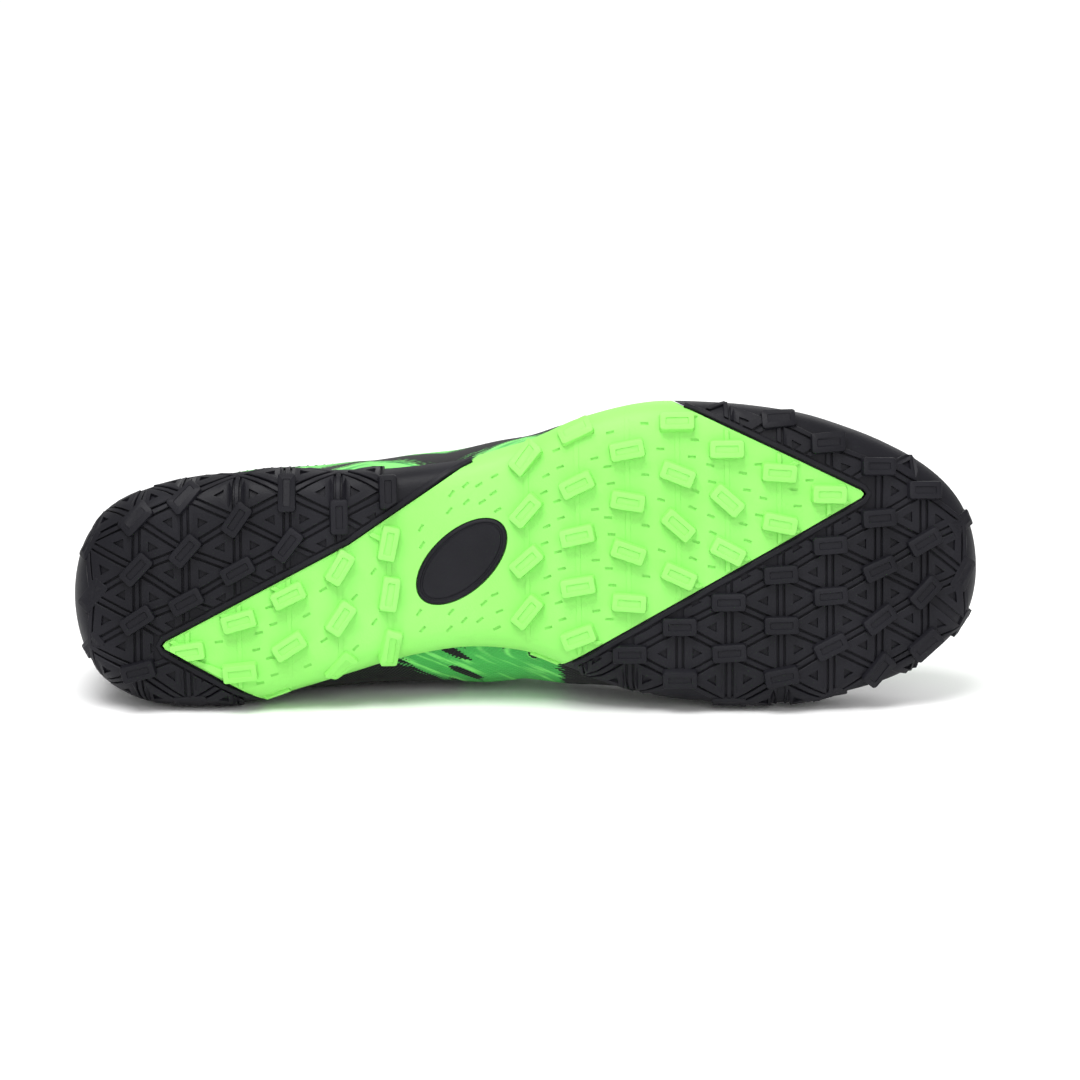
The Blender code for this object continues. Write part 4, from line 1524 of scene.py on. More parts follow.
    def cutter(self, zone: Zone) -> Object:
        """Makes a prism over one piece's share of the plan.

        Args:
            zone: The piece. A black one stands back from its dividing line.

        Returns:
            The cutter.
        """
        setback = Vector((self.piece_gap, 0.0))
        heel, toe = self.divides[Zone.HEEL].points, self.divides[Zone.TOE].points
        behind, ahead = -FAR, self.form.length + FAR
        if zone is Zone.CENTRE:
            rim = [*heel, *toe]
        elif zone is Zone.HEEL:
            heel = [spot - setback for spot in heel]
            rim = [*heel, Vector((heel[-1].x, -FAR)), Vector((behind, -FAR)),
                   Vector((behind, FAR)), Vector((heel[0].x, FAR))]
        else:
            toe = [spot + setback for spot in toe]
            rim = [*toe, Vector((toe[-1].x, FAR)), Vector((ahead, FAR)),
                   Vector((ahead, -FAR)), Vector((toe[0].x, -FAR))]
        return prism("cutter", [place(p.x, p.y, -FAR) for p in rim], 2 * FAR)

    def fit(self, element: BMesh, centre: Vector, reach: float) -> None:
        """Gives an element, on the standing shoe, to the pieces it lies in, cut to size.

        Args:
            element: The element, which is freed.
            centre: Its middle in plan.
            reach: How far it reaches from there.
        """
        near = {zone: divide.nearest(centre) for zone, divide in self.divides.items()}
        margin = self.band_gap + self.band_width + self.groove
        wanted = {zone: [(1, margin, near[zone])] for zone in near}
        wanted[Zone.CENTRE] = [
            (-1, self.groove, foot)
            for zone, divide in self.divides.items() if abs(near[zone][0]) < 2 * reach
            for foot in divide.feet(centre) if abs(foot[0]) < 2 * reach
        ]
        whole = element.calc_volume()
        for zone, cuts in wanted.items():
            if zone is Zone.CENTRE and max(near[other][0] for other in near) > reach:
                continue
            if any(gap * sign < least - reach for sign, least, (gap, _, _) in cuts):
                continue
            share = element.copy()
            for sign, least, (gap, foot, outward) in cuts:
                if gap * sign > least + reach:
                    continue
                away = outward * sign
                start = foot + away * least
                ops.bisect_plane(
                    share, geom=[*share.verts, *share.edges, *share.faces], dist=WELD,
                    plane_co=place(start.x, start.y, 0), plane_no=place(-away.x, -away.y, 0),
                    clear_outer=True,
                )
                ops.holes_fill(share, edges=share.edges, sides=0)
            if share.faces and share.calc_volume() > self.least_share * whole:
                pour(share, self.zones[zone])
            share.free()
        element.free()

    def lug(self) -> BMesh:
        """Makes one lug at the origin, along x, with rounded corners and a shallow slot.

        Returns:
            The lug, with the underside at height 0.
        """
        mesh = bmesh.new()
        ops.create_cube(mesh, size=1.0)
        tall = self.form.lug_height + self.lug_root
        ops.scale(mesh, vec=(self.lug_length, self.lug_width, tall), verts=mesh.verts)
        ops.translate(mesh, vec=(0, 0, tall / 2 - self.lug_root), verts=mesh.verts)
        upright = [e for e in mesh.edges if abs(e.verts[0].co.z - e.verts[1].co.z) > WELD]
        round_off(mesh, upright, self.lug_corner, 3)
        crown = [vert for vert in mesh.verts if vert.co.z > 0]
        draft = (1 - self.lug_draft / self.lug_length, 1 - self.lug_draft / self.lug_width, 1)
        ops.scale(mesh, vec=draft, verts=crown)
        rim = [edge for edge in mesh.edges if all(vert.co.z > 0 for vert in edge.verts)]
        round_off(mesh, rim, self.lug_edge, 2)
        top = max(mesh.faces, key=lambda face: face.calc_center_median().z)
        crown_size = (self.lug_length - self.lug_draft, self.lug_width - self.lug_draft)
        shares = (self.slot_length / crown_size[0], self.slot_width / crown_size[1])
        mouth = shrunk(mesh, top, shares, 0.0)
        shrunk(mesh, mouth, self.slot_draft, -self.slot_depth)
        return mesh

    def add_lugs(self) -> None:
        """Adds the lugs, each square to the underside, or wrapped round the rim where it turns."""
        block = self.lug()
        for column in LUG_COLUMNS:
            for i, heading in enumerate(column.headings):
                plan = self.lug_plan(column, i)
                spot, outward = self.ground.down(plan.x, plan.y)
                if spot is None:
                    continue
                turn = math.radians(heading)
                low = max(self.edge_least, 1 - self.edge_loss * (1 + outward.z))
                if min(plan.x, self.form.length - plan.x) < self.end_reach:
                    low = self.edge_least
                lug = block.copy()
                ops.scale(lug, vec=(1, 1, low), verts=lug.verts)
                if outward.z > self.rim_facing:
                    flat = self.ground.unroll(spot)
                    stand = Matrix.Translation((flat.x, flat.y, 0))
                    stand = stand @ Matrix.Rotation(turn, 4, "Z")
                    ops.transform(lug, matrix=stand, verts=lug.verts)
                    self.wrap(lug)
                else:
                    long_way = place(math.cos(turn), math.sin(turn), 0)
                    long_way = (long_way - outward * long_way.dot(outward)).normalized()
                    axes = Matrix((long_way, outward.cross(long_way), outward)).transposed()
                    stand = axes.to_4x4()
                    stand.translation = spot
                    ops.transform(lug, matrix=stand, verts=lug.verts)
                self.fit(lug, plan, self.lug_reach * self.lug_length)
        block.free()

    def lug_plan(self, column: LugColumn, i: int) -> Vector:
        """A lug's place in plan. One before the first or after the last carries no lug."""
        offset = column.first * self.form.ball_width - i * self.pitch
        return Vector((column.station * self.form.length, offset))

    def lattice(self) -> list[list[Vector]]:
        """The unrolled places of all lugs, with one more past both ends of each column."""
        columns = []
        for column in LUG_COLUMNS:
            spots = []
            for i in range(len(column.headings)):
                plan = self.lug_plan(column, i)
                spot, _ = self.ground.down(plan.x, plan.y)
                spots.append(plan if spot is None else self.ground.unroll(spot))
            step = Vector((0.0, self.pitch))
            columns.append([spots[0] + step, *spots, spots[-1] - step])
        return columns

    def add_lattice(self) -> None:
        """Adds the ribs that link the lugs, and the pad with its dimple in each cell."""
        columns = self.lattice()
        cell_run, apex_reach, rib_reach = 1.5 * self.pitch, 0.42 * self.pitch, 0.78 * self.pitch
        for left, right in zip([None, *columns], [*columns, None]):
            if right is not None:
                for a, b in zip(right, right[1:]):
                    self.add_rib(a, b)
            if left is None or right is None:
                continue
            if right[1].x - left[1].x > cell_run:
                continue
            for near, far in ((left, right), (right, left)):
                for a, b in zip(near, near[1:]):
                    middle = (a + b) / 2
                    apex = min(far, key=lambda spot: abs(spot.y - middle.y))
                    if abs(apex.y - middle.y) < apex_reach:
                        self.add_pad(a, b, apex)
            for a in left:
                for b in right:
                    if abs(a.y - b.y) < rib_reach:
                        self.add_rib(a, b)

    def bare(self, spot: Vector) -> bool:
        """True on the smooth border along the toe's lateral edge."""
        x, lateral = spot
        along = x / self.form.length
        if lateral < 0 or not self.bare_part[0] < along < self.bare_part[1]:
            return False
        return self.ground.depth(x, lateral) < self.bare_width

    def share_at(self, spot: Vector) -> float:
        """How high the fine tread stands there, which is lower on the centre piece."""
        heel, toe = (self.divides[zone].nearest(spot)[0] for zone in (Zone.HEEL, Zone.TOE))
        return 1.0 if max(heel, toe) > 0 else self.green_share

    def wrap(self, mesh: BMesh) -> bool:
        """Lays a flat element, with z as its height, on the sole.

        Args:
            mesh: The element in plan.

        Returns:
            True unless it ran past the top of the wall.
        """
        most = 0.0
        for vert in mesh.verts:
            spot, normal, over = self.ground.lay(vert.co.x, vert.co.y)
            most = max(most, over)
            vert.co = spot + normal * vert.co.z
        ops.recalc_face_normals(mesh, faces=mesh.faces)
        return most < self.over_wall

    def strip(self, line: Sequence[Vector], low: float, high: float, tall: float) -> BMesh:
        """A flat bar along a line, before it is laid on the sole.

        Args:
            line: Its points in plan.
            low: Its near edge, to the right of the line.
            high: Its far edge.
            tall: Its height.

        Returns:
            The bar, with z as its height.
        """
        chamfer = min(self.chamfer, 0.3 * tall)
        profile = (
            (low, -self.sink), (low, tall - chamfer), (low + chamfer, tall),
            (high - chamfer, tall), (high, tall - chamfer), (high, -self.sink),
            (low, -self.sink),
        )
        count = len(line) - 1
        sides = []
        for i in range(len(line)):
            way = (line[min(i + 1, count)] - line[max(i - 1, 0)]).normalized()
            sides.append(Vector((way.y, -way.x)))

        def point(along: float, around: float) -> Vector:
            """A point of the bar."""
            i = round(along * count)
            out, z = profile[round(around * (len(profile) - 1))]
            spot = line[i] + sides[i] * out
            return Vector((spot.x, spot.y, z))

        return closed(sheet_of(point, count, len(profile) - 1))

    def add_rib(self, a: Vector, b: Vector) -> None:
        """Adds a rib between two lattice points. On the centre piece it runs across only."""
        middle = (a + b) / 2
        share = self.share_at(middle)
        if self.bare(middle) or share < 1.0 and abs(b.x - a.x) > 0.3 * self.pitch:
            return
        line = [a.lerp(b, i / self.rib_steps) for i in range(self.rib_steps + 1)]
        half = self.rib_width / 2
        rib = self.strip(line, -half, half, self.rib_height * share)
        if self.wrap(rib):
            self.fit(rib, middle, (b - a).length / 2)
        else:
            rib.free()

    def add_pad(self, a: Vector, b: Vector, apex: Vector) -> None:
        """Adds the raised pad of one three-cornered cell, with its dimple.

        Args:
            a: The first corner of the cell, at a lug.
            b: The second.
            apex: The third, in the next column.
        """
        lengths = [(b - apex).length, (a - apex).length, (a - b).length]
        middle = (a * lengths[0] + b * lengths[1] + apex * lengths[2]) / sum(lengths)
        inner = abs((b - a).cross(apex - a)) / sum(lengths)
        keep = 1 - (self.rib_width / 2 + self.groove) / inner
        if self.bare(middle) or self.share_at(middle) < 1.0:
            return
        mesh = bmesh.new()
        floor = mesh.faces.new(
            [mesh.verts.new((*middle.lerp(p, keep), -self.sink)) for p in (a, b, apex)]
        )
        top = extruded(mesh, floor)
        ops.translate(mesh, vec=(0, 0, self.sink + self.pad_height - self.chamfer),
                      verts=top.verts)
        inset(mesh, top, self.chamfer, self.chamfer)
        inset(mesh, top, inner * keep - self.chamfer - self.dimple_radius, 0.0)
        inset(mesh, top, self.dimple_wall, -self.dimple_depth)
        long_edges = [edge for edge in mesh.edges if edge.calc_length() > self.pad_run]
        ops.subdivide_edges(mesh, edges=long_edges, cuts=2, use_grid_fill=True)
        ops.triangulate(mesh, faces=[face for face in mesh.faces if len(face.verts) > 4])
        if self.wrap(mesh):
            self.fit(mesh, middle, 0.5 * self.pitch)
        else:
            mesh.free()

    def add_band(self, zone: Zone) -> None:
        """Adds the smooth raised band of a black piece along its dividing line."""
        inside = [spot for spot in self.divides[zone].walk(self.band_step)
                  if self.ground.down(spot.x, spot.y)[0] is not None]
        band = self.strip(inside[1:-1], self.band_gap + self.band_inset,
                          self.band_gap + self.band_width, self.rib_height)
        self.wrap(band)
        pour(band, self.zones[zone])
        band.free()


def slab(
    form: ShoeForm, section: Sequence[Across], margin: float, columns: int,
    height: Callable[[float, float], float],
) -> BMesh:
    """A closed plate under the foot, on the standing shoe.

    Args:
        form: The shoe's form.
        section: The rows across it.
        margin: How far it lies inside the sole's outline.
        columns: The faces along each side.
        height: The height at an x and a rise.

    Returns:
        The plate.
    """

    def point(side: Side, along: float, across: float) -> Vector:
        """A point of the plate."""
        station = station_at(along)
        row = section[round(across * (len(section) - 1))]
        rim, _ = form.outline(side, station, margin)
        axis_station = form.axis_start + form.axis_share * station
        axis = Vector((axis_station * form.length, form.at("swing", axis_station)))
        plan = axis.lerp(rim, row.reach)
        return place(plan.x, plan.y, height(plan.x, row.rise))

    plate = joined_sides(point, columns, len(section) - 1, turned=False)
    ops.recalc_face_normals(plate, faces=plate.faces)
    return plate


def prism(name: str, points: Sequence[Vector], height: float) -> Object:
    """A cutter with an outline in plan, from its points' height upwards."""
    mesh = bmesh.new()
    top = extruded(mesh, mesh.faces.new([mesh.verts.new(point) for point in points]))
    ops.translate(mesh, vec=(0, 0, height), verts=top.verts)
    ops.recalc_face_normals(mesh, faces=mesh.faces)
    return hidden(name, mesh)


@dataclass
class Badge:
    """The blank oval badge that is let into the centre piece.

    Its face is made of steps, each an inset and a rise: a soft edge and a raised line.
    """

    length: float = 34.8 * MM
    width: float = 19.0 * MM
    proud: float = 0.4 * MM
    depth: float = 2.2 * MM
    gap: float = 0.3 * MM
    station: float = 0.430
    offset: float = 0.055
    heading: float = 41.7
    sides: int = 72
    clear: float = 3 * MM
    soft_edge: float = 0.35 * MM
    steps: tuple[tuple[float, float], ...] = (
        (0.35 * MM, -0.35 * MM), (0.7 * MM, 0.0), (0.25 * MM, 0.3 * MM),
        (0.45 * MM, 0.0), (0.25 * MM, -0.3 * MM), (0.6 * MM, 0.0),
    )

    def centre(self, form: ShoeForm) -> Vector:
        """Its middle in plan."""
        return Vector((self.station * form.length, self.offset * form.ball_width))

    def oval(self, form: ShoeForm, grow: float, z: float) -> list[Vector]:
        """An oval round its middle.

        Args:
            form: The shoe's form.
            grow: How far it stands outside the badge.
            z: Its height.

        Returns:
            Its points on the standing shoe.
        """
        turn = Matrix.Rotation(math.radians(self.heading), 2)
        points = []
        for i in range(self.sides):
            angle = 2 * math.pi * i / self.sides
            local = Vector((math.cos(angle) * (self.length / 2 + grow),
                            math.sin(angle) * (self.width / 2 + grow)))
            plan = self.centre(form) + turn @ local
            points.append(place(plan.x, plan.y, z))
        return points

    def covers(self, form: ShoeForm, spot: Vector) -> bool:
        """Whether a point in plan lies on the badge or close to it."""
        local = Matrix.Rotation(-math.radians(self.heading), 2) @ (spot - self.centre(form))
        half = (self.length / 2 + self.clear, self.width / 2 + self.clear)
        return (local.x / half[0]) ** 2 + (local.y / half[1]) ** 2 < 1

    def seat(self, form: ShoeForm) -> Object:
        """The cutter of its seat."""
        face = form.underside(self.station * form.length)
        low = face - form.lug_height
        return prism("seat", self.oval(form, self.gap, low),
                     face - self.proud + self.depth + self.gap - low)

    def build(self, form: ShoeForm, world: Matrix) -> Object:
        """Makes the badge."""
        face = form.underside(self.station * form.length)
        mesh = bmesh.new()
        back = self.oval(form, 0.0, face - self.proud + self.depth)
        top = extruded(mesh, mesh.faces.new([mesh.verts.new(point) for point in back]))
        for vert in top.verts:
            vert.co.z = face - self.proud + self.soft_edge
        for thickness, rise in self.steps:
            inset(mesh, top, thickness, rise)
        ops.recalc_face_normals(mesh, faces=mesh.faces)
        piece = lay_down("oval_badge", mesh, world, [BLACK_RUBBER], 50.0)
        return wear(piece, BLACK_RUBBER.name, "sole_badge")


# The upper and what is joined to it


class Crease(NamedTuple):
    """A soft crease over the ball: station and lean in hundredths, and depth in millimetres."""

    middle: float
    lean: float
    depth: float


CREASES = (Crease(58.0, 9.0, 0.55), Crease(63.5, 12.0, 0.7), Crease(69.0, 15.0, 0.5))


@dataclass
class Upper:
    """The printed upper: one wall over the last, with a lining inside.

    A share counts the way up a rib, from 0 at the wall's foot to 1 at its edge.
    """

    form: ShoeForm
    world: Matrix
    columns: int = 190
    rows: int = 56
    collar_swell: float = 1.3 * MM
    foot_gap: float = 0.05 * MM
    foot_share: float = 0.06
    flat: float = 1e-7
    ends: dict[tuple[Side, float], float] = field(default_factory=dict)

    def end(self, side: Side, station: float) -> float:
        """The t at which the upper ends, kept for each rib."""
        key = side, round(station, 6)
        if key not in self.ends:
            self.ends[key] = self.form.upper_end(side, station)
        return self.ends[key]

    def swell(self, side: Side, station: float, share: float) -> float:
        """How far the wall stands off the last: at the padded collar, and in its creases.

        Args:
            side: The side of the shoe.
            station: The rib's station.
            share: The place on the rib.

        Returns:
            The distance.
        """
        x = station * 100
        collar = (1 - smooth(0.30, 0.42, station)) * smooth(0.62, 0.9, share)
        crease = 0.0
        for middle, lean, depth in CREASES:
            at = middle + lean * (share - 0.75) * (1 if side is Side.LATERAL else 0.7)
            fade = smooth(0.30, 0.6, share)
            crease += depth * fade * (0.45 * bump(x, at + 1.4, 1.1) - bump(x, at, 0.85))
        return self.collar_swell * collar + crease * MM

    def drop(self, share: float) -> float:
        """How far the wall's foot is drawn down to the sole."""
        return (self.form.upper_seat_gap - self.foot_gap) * (1 - smooth(0, self.foot_share, share))

    def skin(self, side: Side, station: float, share: float, lift: float) -> tuple[Vector, Vector]:
        """A point off the wall's outside.

        Args:
            side: The side of the shoe.
            station: The rib's station.
            share: The place on the rib.
            lift: How far the point stands off the wall.

        Returns:
            The point and the outward direction there.
        """
        t = share * self.end(side, station)
        outward = self.form.outward(side, station, t)
        spot = self.form.last(side, station, t)
        spot.z -= self.drop(share)
        return spot + outward * (self.swell(side, station, share) + lift), outward

    def point(self, side: Side, along: float, across: float) -> Vector:
        """A point of the wall's outside. Where the wall lies on the last, that is a point of it."""
        station = station_at(along)
        if abs(self.swell(side, station, across)) >= self.flat:
            return self.skin(side, station, across, 0.0)[0]
        spot = self.form.last(side, station, across * self.end(side, station))
        spot.z -= self.drop(across)
        return spot

    def layout(self, side: Side, along: float, across: float) -> Vector:
        """The cloth's map, in centimetres from the heel and up from the wall's foot."""
        station = station_at(along)
        girth = 7.5 + 3.0 * (1 - station)
        up = across * self.end(side, station) * girth
        return Vector((station * self.form.length * 100, up, 0))

    def build(self) -> Object:
        """Makes the upper."""
        mesh = joined_sides(self.point, self.columns, self.rows, self.layout)
        piece = lay_down("printed_upper", mesh, self.world, [BrushPrint(), LINING_CLOTH], 80.0,
                         pressed=True)
        thicken(piece, self.form.wall, -1.0, 1)
        return wear(piece, "printed_upper", "upper")


def sweep(
    path: Sequence[Vector], ups: Sequence[Vector], profile: Sequence[tuple[float, float]],
    widths: Sequence[float] | None = None,
) -> BMesh:
    """A closed bar along a path.

    Args:
        path: Its points.
        ups: The direction of the profile's second value at each point.
        profile: The section's outline, sideways and up, which ends where it starts.
        widths: How much of the profile's width each point keeps.

    Returns:
        The bar, with a map that counts centimetres along and round it.
    """
    count, around_count = len(path) - 1, len(profile) - 1
    frames, walked = [], [0.0]
    for i, spot in enumerate(path):
        way = (path[min(i + 1, count)] - path[max(i - 1, 0)]).normalized()
        side = way.cross(ups[i]).normalized()
        frames.append((spot, side, side.cross(way)))
        if i:
            walked.append(walked[-1] + (spot - path[i - 1]).length)
    round_about = [0.0]
    for (x0, y0), (x1, y1) in zip(profile, profile[1:]):
        round_about.append(round_about[-1] + math.hypot(x1 - x0, y1 - y0))

    def point(along: float, around: float) -> Vector:
        """A point of the bar."""
        spot, side, up = frames[round(along * count)]
        out, rise = profile[round(around * around_count)]
        if widths is not None:
            out *= widths[round(along * count)]
        return spot + side * out + up * rise

    def layout(along: float, around: float) -> Vector:
        """The map's place there."""
        return Vector((walked[round(along * count)] * 100,
                       round_about[round(around * around_count)] * 100, 0))

    return closed(sheet_of(point, count, around_count, layout))


def oval_section(
    width: float, height: float, sides: int, square: float
) -> list[tuple[float, float]]:
    """A rounded section.

    Args:
        width: Its width.
        height: Its height.
        sides: The points round it.
        square: 1 for an ellipse; less makes it fuller at its corners.

    Returns:
        The outline, closed.
    """
    outline = []
    for i in range(sides + 1):
        angle = 2 * math.pi * (i % sides) / sides
        c, d = math.cos(angle), math.sin(angle)
        outline.append((math.copysign(abs(c) ** square, c) * width / 2,
                        math.copysign(abs(d) ** square, d) * height / 2))
    return outline


@dataclass
class Collar:
    """The rolled binding round the collar and down both sides of the throat."""

    upper: Upper
    width: float = 2.9 * MM
    height: float = 2.6 * MM
    steps: int = 110
    front: float = 0.662
    spacing: float = 0.8 * MM

    def edge(self) -> list[tuple[Vector, Vector]]:
        """The upper's edge from the throat's medial side round the heel to its lateral side.

        Returns:
            Points in the middle of the wall, each with the outward direction there.
        """
        line = []
        for side in (Side.MEDIAL, Side.LATERAL):
            half = []
            for i in range(self.steps + 1):
                station = (1 - math.cos(angle_of(self.front) * i / self.steps)) / 2
                half.append(self.upper.skin(side, station, 1.0, -self.upper.form.wall / 2))
            line += half[::-1] if side is Side.MEDIAL else half
        return line

    def build(self, world: Matrix) -> Object:
        """Makes the binding."""
        kept = []
        for spot, up in self.edge():
            if not kept or (spot - kept[-1][0]).length > self.spacing:
                kept.append((spot, up))
        spots, ups = zip(*kept)
        mesh = sweep(spots, ups, oval_section(self.width, self.height, 14, 0.9))
        piece = lay_down("collar_binding", mesh, world, [LINING_CLOTH], 60.0, pressed=True)
        return wear(piece, "tongue_cloth")


@dataclass
class Overlay:
    """A thin film panel on both sides of the upper, between a lower and an upper edge."""

    upper: Upper
    name: str
    first: float
    last: float
    lift: float = 0.25 * MM
    thickness: float = 0.45 * MM
    columns: int = 60
    rows: int = 12
    weld: float = 0.05 * MM

    def low(self, station: float) -> float:
        """The lower edge's share of a rib."""
        raise NotImplementedError

    def high(self, station: float) -> float:
        """The upper edge's share of a rib."""
        raise NotImplementedError

    def point(self, side: Side, along: float, across: float) -> Vector:
        """A point of the panel."""
        first, last = angle_of(self.first), angle_of(self.last)
        station = (1 - math.cos(first + (last - first) * along)) / 2
        share = self.low(station) * (1 - across) + self.high(station) * across
        return self.upper.skin(side, station, share, self.lift)[0]

    def build(self, world: Matrix) -> Object:
        """Makes the panel."""
        mesh = joined_sides(self.point, self.columns, self.rows, weld=self.weld)
        piece = lay_down(self.name, mesh, world, [Film()], 60.0)
        thicken(piece, self.thickness, 0.0)
        return wear(piece, "printed_upper")


@dataclass
class Eyestay(Overlay):
    """The panels under the eyelets, whose lower edge rises to the throat at both ends."""

    name: str = "eyestay_panels"
    first: float = 0.398
    last: float = 0.672
    level: float = 0.76
    climb: float = 0.2
    climbs_from: tuple[float, float] = (0.428, 0.635)

    def low(self, station: float) -> float:
        """The lower edge's share of a rib."""
        back, front = self.climbs_from
        ends = smooth(front, self.last, station) + 1 - smooth(self.first, back, station)
        return self.level + self.climb * ends

    def high(self, station: float) -> float:
        """The upper edge's share of a rib, just under the throat's binding."""
        return 0.985


@dataclass
class HeelCounter(Overlay):
    """The panel round the heel, whose upper edge runs down in a quarter of an oval."""

    name: str = "heel_counter"
    first: float = 0.0
    last: float = 0.235
    reach: float = 0.236
    least: float = 0.05
    climb: float = 0.60

    def low(self, station: float) -> float:
        """The lower edge's share of a rib, which is the wall's foot."""
        return 0.0

    def high(self, station: float) -> float:
        """The upper edge's share of a rib."""
        return self.least + self.climb * math.sqrt(max(1 - (station / self.reach) ** 2, 0.0))


@dataclass
class Tongue:
    """The padded tongue: it lies under the eyestays and stands up past them."""

    form: ShoeForm
    thickness: float = 4.0 * MM
    clearance: float = 1.5 * MM
    lap: float = 9 * MM
    top_lap: float = 3 * MM
    rise: float = 24 * MM
    toe: float = 0.70
    lap_station: float = 0.60
    top: float = 0.425
    on_last: float = 0.78
    tip_taper: float = 0.08
    corner: float = 9 * MM
    corner_from: float = 0.72
    pillow: float = 1.1 * MM
    columns: int = 84
    rows: int = 30

    def build(self, world: Matrix) -> Object:
        """Makes the tongue with a softly padded front and rounded edges."""
        form = self.form
        top_half = form.at("throat", self.top) + self.top_lap
        toe_half = form.at("throat", self.lap_station) + self.lap
        inner = -(form.wall + self.clearance)
        ridge = [form.over_instep(s, 0.0, inner)[0] for s in (self.top, self.top + 0.03)]
        upward = (ridge[0] - ridge[1]).normalized()

        def spot(along: float, across: float, depth: float) -> Vector:
            """A point of the tongue, that deep under its front."""
            aside = across * 2 - 1
            seated = min(along / self.on_last, 1.0)
            station = self.toe + (self.top - self.toe) * seated
            free = max(along - self.on_last, 0.0) / (1 - self.on_last)
            half = toe_half + (top_half - toe_half) * seated
            half *= 1 - self.tip_taper * free * free
            corner = smooth(self.corner_from, 1.0, along) * self.corner
            corner *= 1 - math.sqrt(1 - 0.98 * aside**4)
            point, _ = form.over_instep(station, aside * half, inner - depth)
            return point + upward * (self.rise * free - corner)

        def pad(along: float, aside: float) -> float:
            """How far the padding swells."""
            lanes = 0.55 + 0.45 * math.cos(aside * 3 * math.pi)
            return self.pillow * smooth(0.25, 0.4, along) * (1 - aside**4) * lanes

        def point(along: float, round_about: float) -> Vector:
            """A point of the front or of the back."""
            if round_about <= 0.5:
                across = round_about * 2
                edge = min(across, 1 - across) * 2
                shell = self.thickness / 2 * (1 - math.sqrt(min(edge * 7, 1.0)))
                return spot(along, across, shell - pad(along, across * 2 - 1) * min(edge * 5, 1))
            across = 2 - round_about * 2
            edge = min(across, 1 - across) * 2
            shell = self.thickness / 2 * (1 + math.sqrt(min(edge * 7, 1.0)))
            return spot(along, across, shell)

        mesh = closed(sheet_of(point, self.columns, self.rows * 2))
        piece = lay_down("padded_tongue", mesh, world, [KNIT_CLOTH], 60.0)
        return wear(piece, "tongue_cloth", "tongue")


@dataclass
class Insole:
    """The sock lining that the foot stands on, and the thin cloth board under it."""

    form: ShoeForm
    rim_gap: float = 0.25 * MM
    board_gap: float = 0.05 * MM
    board_margin: float = 0.3 * MM
    board_thickness: float = 0.3 * MM
    columns: int = 70

    def plate(self, margin: float, low: float, thickness: float) -> BMesh:
        """A plate over the sole.

        Args:
            margin: How far it lies inside the upper's feather edge.
            low: How high it lies over the sole.
            thickness: How thick it is.

        Returns:
            The plate.
        """

        def height(x: float, rise: float) -> float:
            """The plate's height."""
            return self.form.top(x) + low + rise * thickness

        inside = self.form.feather_inset + margin
        return slab(self.form, INSOLE_SECTION, inside, self.columns, height)

    def build(self, world: Matrix) -> list[Object]:
        """Makes the board and the insole."""
        board = self.plate(self.board_margin, self.board_gap, self.board_thickness)
        sock = self.plate(self.form.wall + self.rim_gap, self.form.seat_gap,
                          self.form.insole_thickness)
        return [
            wear(lay_down("lasting_board", board, world, [LINING_CLOTH]), "sock_cloth"),
            wear(lay_down("sock_lining", sock, world, [SOCK_CLOTH]), "sock_cloth", "insole"),
        ]


